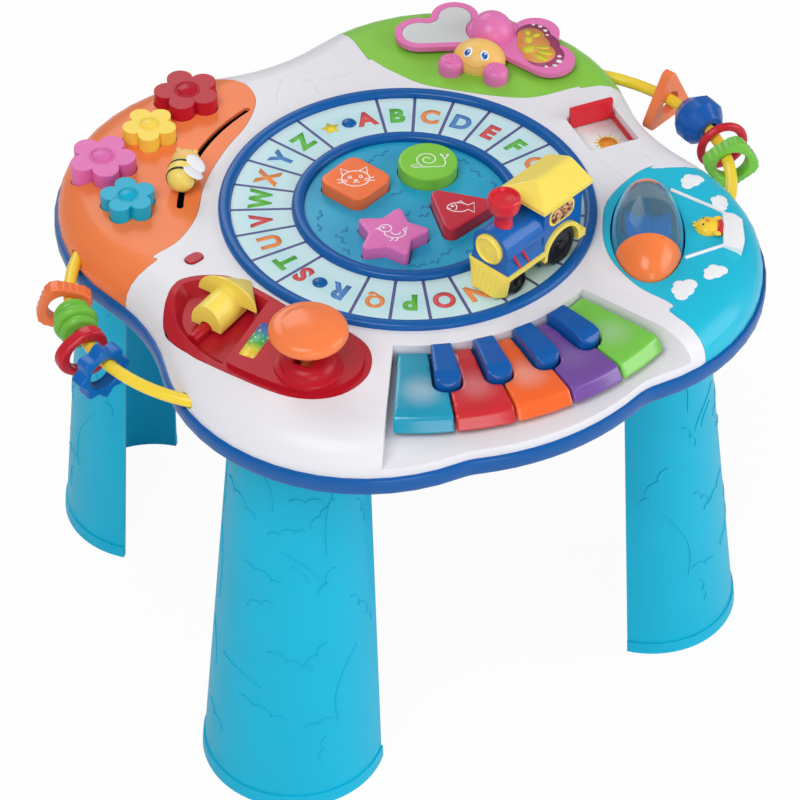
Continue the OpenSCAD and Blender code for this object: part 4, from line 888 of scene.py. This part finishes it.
def butterfly():
    bug = turned(42.5)
    head = bug @ moved(179, 0, DECK + 3)

    def on_face(turn, lift):
        """Place on the wide face, its X axis pointing out of the surface."""
        q, w = math.radians(180 + turn), math.radians(lift)
        way = Vector((math.cos(q) * math.cos(w), math.sin(q) * math.cos(w), math.sin(w)))
        out = Vector((way.x / 17, way.y / 20.2, way.z / 15.5)).to_track_quat("X", "Z")
        point = moved(17 * way.x, 20.2 * way.y, 15.5 * way.z)
        return head @ point @ out.to_matrix().to_4x4()

    face = finished("bug_face", ball(17, 20.2, 15.5, 48, 32), PEACH, "table", 0,
                    head)
    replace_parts(face, "butterfly_head")
    tail = bug @ moved(210.5, 0, DECK + 6.5)
    bun = [(9.4, -3), (9.4, 6.4)] + loop(5, 5, 8, 0, 84, 4.4, 6.8) + [(2.5, 11.9), (0, 12)]
    feelers = [(turning([(0, -3)] + bun, 40), bug @ moved(162.5, side * 17.5, DECK))
               for side in (-1, 1)]
    pink = together((ball(16.6, 16.6, 16.6, 48, 32), tail),
                    (plate(loop(19.4, 19.4, 48), 0, 6.7), bug @ moved(213, 0, DECK)), *feelers)
    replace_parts(finished("bug_body", pink, PINK, "table", 40), "butterfly_body")
    white, iris, pupil = [], [], []
    for side in (-1, 1):
        out = on_face(side * 30, 50)
        white.append((ball(0.8, 3.5, 4.2, 24, 14), out))
        iris.append((ball(0.8, 2.4, 2.9, 20, 12), out @ moved(0.35, 0, -0.2)))
        pupil.append((ball(0.5, 0.8, 0.9, 12, 8), out @ moved(1.05, 0.5, 0.9)))
    finished("bug_eye_whites", together(*white),
             moulded("eye_white", hue(240, 244, 250), 0.2, 0.4, 0.01), "table", 0)
    finished("bug_eye_irises", together(*iris), moulded("eye_blue", hue(22, 96, 170), 0.15, 0.5),
             "table", 0)
    finished("bug_eye_glints", together(*pupil), INK_WHITE, "table", 0)
    smile = [tuple(on_face(4 * i - 24, 24 - 9 * math.cos(math.radians(15 * i - 90))).translation)
             for i in range(13)]
    finished("bug_smile", beads_of([smile], 0.32), moulded("smile_brown", hue(232, 168, 92)), "table",
             0)

    curls = []
    for side in (-1, 1):
        points = []
        for i in range(34):
            q = i * 0.34
            r = 1.0 + 5.2 * i / 33
            points.append((r * math.cos(q), side * r * math.sin(q)))
        curls.append((beads_of([points], 0.8, flat=0.8),
                      bug @ moved(162.5, side * 17.5, DECK + 11.9)))
    finished("feeler_curls", together(*curls), PINK, "table", 40)
    finished("body_band", ring(16.5, 0.8, 64, 0.6, 1.6), PINK, "table", 40,
             tail @ turned(-28, "Y") @ turned(90, "Y") @ moved(0, 0, 1.5))

    maroon = printed("wing_maroon", hue(162, 62, 108))
    gold = printed("wing_gold", hue(216, 208, 48))
    amber = printed("wing_amber", hue(235, 158, 76))
    wing = bug @ spread(1, -1, 1) @ moved(0, 0, DECK)
    outer = puff_rim([(-9, 8, 15), (13, -7, 13.2), (2, 1, 15.4)], 204, 38)
    finished("wing_print", plate(outer, 7.02, 7.22), maroon, "table", 0, wing)
    inner = puff_rim([(-8.5, 3.5, 12.4), (9.5, -8, 10.6), (0.5, -3.5, 12.4)], 204, 38)
    finished("wing_print_amber", plate(inner, 7.1, 7.3), amber, "table", 0, wing)
    cells = []
    for x, y, a, b, turn in ((191, 44, 3.4, 6.4, 28), (197.5, 46, 2.6, 6.2, 4),
                             (203, 42.5, 2.2, 5.0, -14), (198.5, 33, 6.2, 4.4, 20),
                             (209.5, 29.5, 4.6, 3.2, -10), (216.5, 33.5, 3.6, 2.4, 30),
                             (217.5, 26.5, 3.4, 2.2, -24)):
        leaf = plate(loop(a, b, 22), 7.2, 7.38)
        cells.append((leaf, wing @ moved(x, y, 0) @ turned(turn)))
    finished("wing_print_gold", together(*cells), gold, "table", 0)
    dots = []
    for x, y, size in ((184.5, 57.0, 1.5), (190.5, 58.6, 1.9), (196.5, 57.2, 1.4),
                       (181.2, 51.2, 1.1), (224.5, 38.4, 1.4), (228.4, 33.2, 1.3),
                       (229.0, 27.6, 1.0), (219.5, 41.2, 1.0)):
        dots.append((plate(loop(size, size * 1.25, 14), 7.1, 7.3), wing @ moved(x, y, 0)))
    finished("wing_print_dots", together(*dots), INK_WHITE, "table", 0)


def sun_window():
    place = moved(170, 9, 361.5 + 0.02) @ turned(-6)
    finished("picture_card", plate(rounded_box(39.4, 42.4, 1, 3), 0, 0.1), printed(
        "card_white", hue(240, 238, 236)), "table", 0, place)
    rays = []
    for i in range(14):
        long = 11.8 if i % 2 == 0 else 10.0
        tip = polar(long, 360 / 14 * i)
        a, b = polar(6.6, 360 / 14 * (i - 0.42)), polar(6.6, 360 / 14 * (i + 0.42))
        rays.append(plate([(a.x, a.y), (tip.x, tip.y), (b.x, b.y)], 0.1, 0.17))
    sun = moved(1.0, -8.5, 0)
    finished("sun_rays", placed(place, [(ray, sun) for ray in rays]), printed(
        "sun_yellow", hue(248, 205, 50)), "table", 0)
    finished("sun_disc", plate(loop(6.8, 6.8, 32), 0.1, 0.23),
             printed("sun_orange", hue(238, 150, 45)), "table", 0, place @ sun)
    runner = plate(rounded_box(3.2, 42.0, 0.6, 3), 0, 1.2, 0.3, 2)
    finished("door_runner", runner, moulded("runner_red", hue(190, 26, 44), 0.3), "table",
             40, place @ moved(17.9, 0, 0.1))


def puff_rim(puffs, x0=0.0, y0=0.0):
    """Outline of round puffs taken together, seen from a point inside them."""
    rim = []
    for step in range(80):
        way = polar(1, 4.5 * step)
        reach = 0.0
        for x, y, r in puffs:
            along = x * way.x + y * way.y
            spare = r * r - (x * x + y * y - along * along)
            if spare > 0:
                reach = max(reach, along + math.sqrt(spare))
        rim.append((x0 + way.x * reach, y0 + way.y * reach))
    return rim


def cloud(puffs, thick=0.3):
    """Low flat cloud, domed a little."""
    form = bmesh.new()
    rim = puff_rim(puffs)
    rows = []
    for share, z in ((1.0, -0.3), (1.0, 0.4 * thick), (0.95, thick), (0.66, thick), (0.33, thick)):
        rows.append([form.verts.new((x * share, y * share, z)) for x, y in rim])
    for low, high in zip(rows, rows[1:]):
        for i in range(80):
            form.faces.new((low[i - 1], low[i], high[i], high[i - 1]))
    for row, z in ((rows[0], -0.3), (rows[-1], thick)):
        middle = form.verts.new((0, 0, z))
        for i in range(80):
            form.faces.new((row[i - 1], row[i], middle))
    bmesh.ops.recalc_face_normals(form, faces=form.faces)
    return form


def sky_marks():
    skin = Skin("sky_cover", "top_shell")
    flakes = []
    for x, y, turn, grow in ((193, -74.5, 20, 1.0), (198, -104, 60, 0.9), (150.6, -167, 10, 0.95),
                             (121.6, -172, 35, 1.15)):
        form = cloud([(0, 0, 6.4), (-6.2, -0.8, 4.2), (5.8, -1.6, 4.6), (2.4, 3.4, 4.2),
                      (-2.8, 3.0, 3.8)])
        form.transform(moved(x, y, 0) @ turned(turn) @ spread(grow, grow, 1))
        flakes.append(skin.lay(form))
    finished("sky_clouds", together(*flakes), printed("cloud_white", hue(244, 246, 250)), "table",
             30)


def rail_ball():
    """Ribbed ball of three rounded discs on the left rail."""
    centre_x, rail_r = 127.7, 126.25
    place = (turned(180) @ moved(centre_x, 0, 349) @ turned(-10.5)
             @ moved(rail_r, 0, 0) @ turned(90, "X"))
    profile = [(5.9, -12.6)]
    for z, r in ((-8.8, 13.6), (0, 15.8), (8.8, 13.6)):
        profile += [(out, z + up) for out, up in loop(4.0, 4.0, 8, -80, 80, r - 4.0)]
        if z < 8:
            profile.append((11.2, z + 4.4))
    profile += [(5.9, 12.6), (5.9, -12.6)]
    part = finished("ribbed_ball", turning(profile, 64),
                    moulded("bead_green", hue(115, 192, 66), 0.28), "bead_green_ball",
                    40, place)
    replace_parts(part, "bead_green_ball")


def scallops(x, y, turn, *sizes):
    """A row of round bumps along a direction, like a cloud's edge."""
    points, along = [], 0.0
    for size in sizes:
        for step in range(9):
            q = math.radians(165 - 150 * step / 8)
            points.append((along + size + size * math.cos(q), size * 0.8 * math.sin(q)))
        along += 1.85 * size
    c, s = math.cos(math.radians(turn)), math.sin(math.radians(turn))
    return [(x + u * c - v * s, y + u * s + v * c) for u, v in points]


def sweep(x, y, across, rise, bow):
    return [(x + across * i / 14 + bow * math.sin(math.pi * i / 14), y + rise * i / 14)
            for i in range(15)]


def shell_reliefs():
    """Thin raised cloud edges on the white shell."""
    marks = [sweep(0, 174, 38, -8, 2), scallops(2, 161, -5, 5, 4.5), scallops(26, 154, -4, 5, 4),
             scallops(13, 146, 100, 4.5), sweep(-4, 176, -20, -26, -3), scallops(42, 179, -8, 4.5),
             sweep(144, -18, 6, -16, 2), scallops(146, -38, -60, 4.5, 3), scallops(176, -32, -70, 4.5)]
    skin = Skin("top_shell")
    form = beads_of(marks, 0.5)
    finished("shell_reliefs", skin.lay(form), WHITE, "table", 50)


LEG_FOOT_R, LEG_TOP_R = 67.5, 47.5
RELIEF_LIFT = 0.1


def leg_reliefs():
    """Thin raised cloud edges and long curves round each leg."""
    marks = [scallops(8, 268, -8, 6, 8), sweep(-18, 292, 13, -34, 4), scallops(26, 246, 48, 6, 5, 4),
             scallops(-58, 262, -24, 7, 9, 6), sweep(-72, 286, 9, -52, 3),
             scallops(-8, 236, 14, 5, 7, 4), sweep(2, 226, 30, -26, 6),
             sweep(10, 214, 14, -15, 4), scallops(-30, 204, -16, 6, 8, 5),
             sweep(-64, 214, 6, -62, 4), scallops(34, 186, 62, 6, 7), scallops(-22, 168, 26, 7, 5),
             scallops(-6, 132, -20, 8, 6, 5), sweep(-66, 128, 12, -36, 3), scallops(24, 122, 54, 7, 6),
             sweep(-44, 112, 36, -12, 3), scallops(-26, 84, -22, 6, 8, 7), scallops(22, 66, 12, 5, 6),
             sweep(52, 292, -14, -70, -7), scallops(56, 176, -58, 7, 9, 6),
             sweep(62, 132, -16, -64, -9), scallops(36, 34, 84, 6, 6),
             scallops(-62, 52, -36, 6, 7), scallops(64, 258, -70, 7, 6)]
    legs = ((128.5, 161.5, 45, 10), (-128.5, 161.5, 135, 10),
            (-137.5, -92.5, 225, 27), (137.5, -92.5, -45, 27))
    for number, (x, y, turn, lean) in enumerate(legs, 1):
        tilt = Matrix.Rotation(-math.atan(lean / TRAY), 4, "Y")
        place = moved(x, y, TRAY) @ turned(turn) @ tilt @ moved(0, 0, -TRAY)
        side = -1 if x > 0 else 1
        strokes = [[polar(LEG_FOOT_R - (LEG_FOOT_R - LEG_TOP_R) * high / TRAY + RELIEF_LIFT,
                          side * u) + Vector((0, 0, high)) for u, high in mark] for mark in marks]
        finished("leg_relief_%d" % number, beads_of(strokes, 0.5), LEG, "table",
                 50, place)


def build():
    table_nodes = {
        "bottom_tray": (BLUE, 0), "top_shell": (WHITE, 0), "orange_cover": (ORANGE, 0),
        "green_cover": (GREEN, 0), "sky_cover": (SKY, 0), "red_console": (RED, 0),
        "legs": (LEG, 0), "track_ring": (BLUE, 0), "butterfly_head": (PEACH, 0),
        "butterfly_body": (PINK, 0), "butterfly_wings": (PINK, 0.9), "bead_rails": (
            moulded("rail_yellow", hue(250, 216, 62), 0.26, 0.3), 0),
        "battery_door": (BLUE, 0.5), "train_chassis": (YELLOW, 0), "train_body": (BOILER, 0.8),
        "train_chimney": (CHIMNEY, 0), "rear_wheels": (BLACK, 0),
        "front_wheels": (BLACK, 0), "arrow_slider": (YELLOW, 0.8), "joystick": (KNOB, 0),
        "sun_door": (moulded("door_red", hue(220, 40, 54), 0.28, 0.25), 0.8)}
    for node, (paint, soft) in table_nodes.items():
        dress(node, paint, soft)
    dress("letter_band", moulded("band_pale", hue(186, 224, 230), 0.4, 0.1, 0.02, painted=band_paint))
    dress("pond_plate", moulded("pond_blue", hue(22, 150, 196), 0.24, 0.4, 0.03, painted=pond_paint))
    dress("indicator_lens", moulded("lens_red", hue(180, 12, 30), 0.2, 0.25), 0.8, 4)
    dress("wing_mirror", mirror_film(), 0.3, 2)
    dress("batteries", moulded("cell_wrap", hue(176, 142, 66), 0.32, 0.2))
    dress("speaker", moulded("speaker_grey", hue(82, 82, 88), 0.5, 0.0))
    dress("circuit_board", moulded("board_green", hue(44, 108, 70), 0.4, 0.2, 0.12))
    dress("power_switch", moulded("switch_grey", hue(218, 218, 220), 0.4, 0.1), 0.4)
    dress("balloon_core", moulded("fan_blue", hue(60, 100, 200), 0.3, 0.2), 0.4)
    for name, colour in (("square_button", hue(244, 118, 62)), ("round_button", hue(128, 200, 62)),
                         ("triangle_button", hue(200, 44, 62)), ("star_button", hue(226, 118, 186))):
        soften(name, moulded(name + "_plastic", colour, 0.28, 0.25), 0.8, 16)
    keys = (("teal", hue(6, 152, 184), 0.85), ("red", hue(206, 36, 44), 0.4),
            ("orange", hue(250, 104, 38), 0.6), ("purple", hue(118, 76, 160), 0.15),
            ("green", hue(122, 202, 74), 0.55))
    for i, (name, colour, glow) in enumerate(keys):
        finish = glowing_key("key_%s_plastic" % name, colour, 237.25 + 11.1 * (i + 0.5), glow)
        soften("key_" + name, finish)
        if i:
            soften("sharp_keys_%d" % i, moulded("sharp_blue", hue(6, 88, 166), 0.2, 0.4), 0.7, 16)
    for name, colour, soft in (("bead_orange_ring", hue(244, 120, 66), 2.2),
                               ("bead_red_ring", hue(200, 30, 46), 2.2),
                               ("bead_blue_ring", hue(0, 100, 182), 2.0),
                               ("bead_arrow_ring", hue(245, 128, 76), 1.8),
                               ("bead_blue_ball", hue(14, 88, 172), 1.0),
                               ("bead_thin_ring", hue(200, 30, 46), 0),
                               ("bead_green_ring", hue(116, 194, 66), 2.2)):
        dress(name, moulded(name + "_plastic", colour, 0.26, 0.3), soft)
    letter_track()
    pond()
    button_icons()
    train()
    flowers()
    bee()
    console()
    balloon()
    basket()
    butterfly()
    sun_window()
    sky_marks()
    rail_ball()
    leg_reliefs()
    shell_reliefs()


def mirror_film():
    # The pale grey is a painted reflection of a bright room, a little lighter and darker along the
    # film's ripples; the film itself is only slightly metallic.
    finish = Finish("mirror_film")
    here = finish.place()
    reflection_ripple = finish.noise(here, 24.0, 2.0)
    finish.set(Base_Color=finish.mix(reflection_ripple, hue(216, 218, 218), hue(228, 230, 229)),
               Roughness=0.16 + 0.08 * reflection_ripple)
    finish.set(Metallic=0.2)
    return finish.material


def glowing_key(name, colour, angle, glow):
    """Clear tinted plastic that is paler in the middle, where the light is."""
    finish = Finish(name)
    middle = polar(190, angle) * MM
    here = finish.place()
    gap = finish.add("ShaderNodeVectorMath", {"operation": "DISTANCE"},
                     {0: here, 1: (middle.x, middle.y, 0.366)}, 1)
    flow = finish.noise(here, 30.0, 2.0)
    core = finish.add("ShaderNodeMapRange", {"interpolation_type": "SMOOTHSTEP"},
                      {"Value": gap, "From Min": 0.001, "From Max": 0.02, "To Min": glow,
                       "To Max": 0.0})
    pale = tuple(0.55 * channel + 0.32 for channel in colour[:3]) + (1.0,)
    base = finish.mix(core, finish.mix(flow, shade(colour, 0.92), shade(colour, 1.06)), pale)
    finish.set(Base_Color=base, Roughness=0.2 + 0.08 * flow)
    finish.set(Coat_Weight=0.35, Coat_Roughness=0.1, Subsurface_Weight=0.25,
               Subsurface_Radius=(0.01, 0.01, 0.01), Subsurface_Scale=0.5)
    return finish.material


stand_camera()
studio()
build()
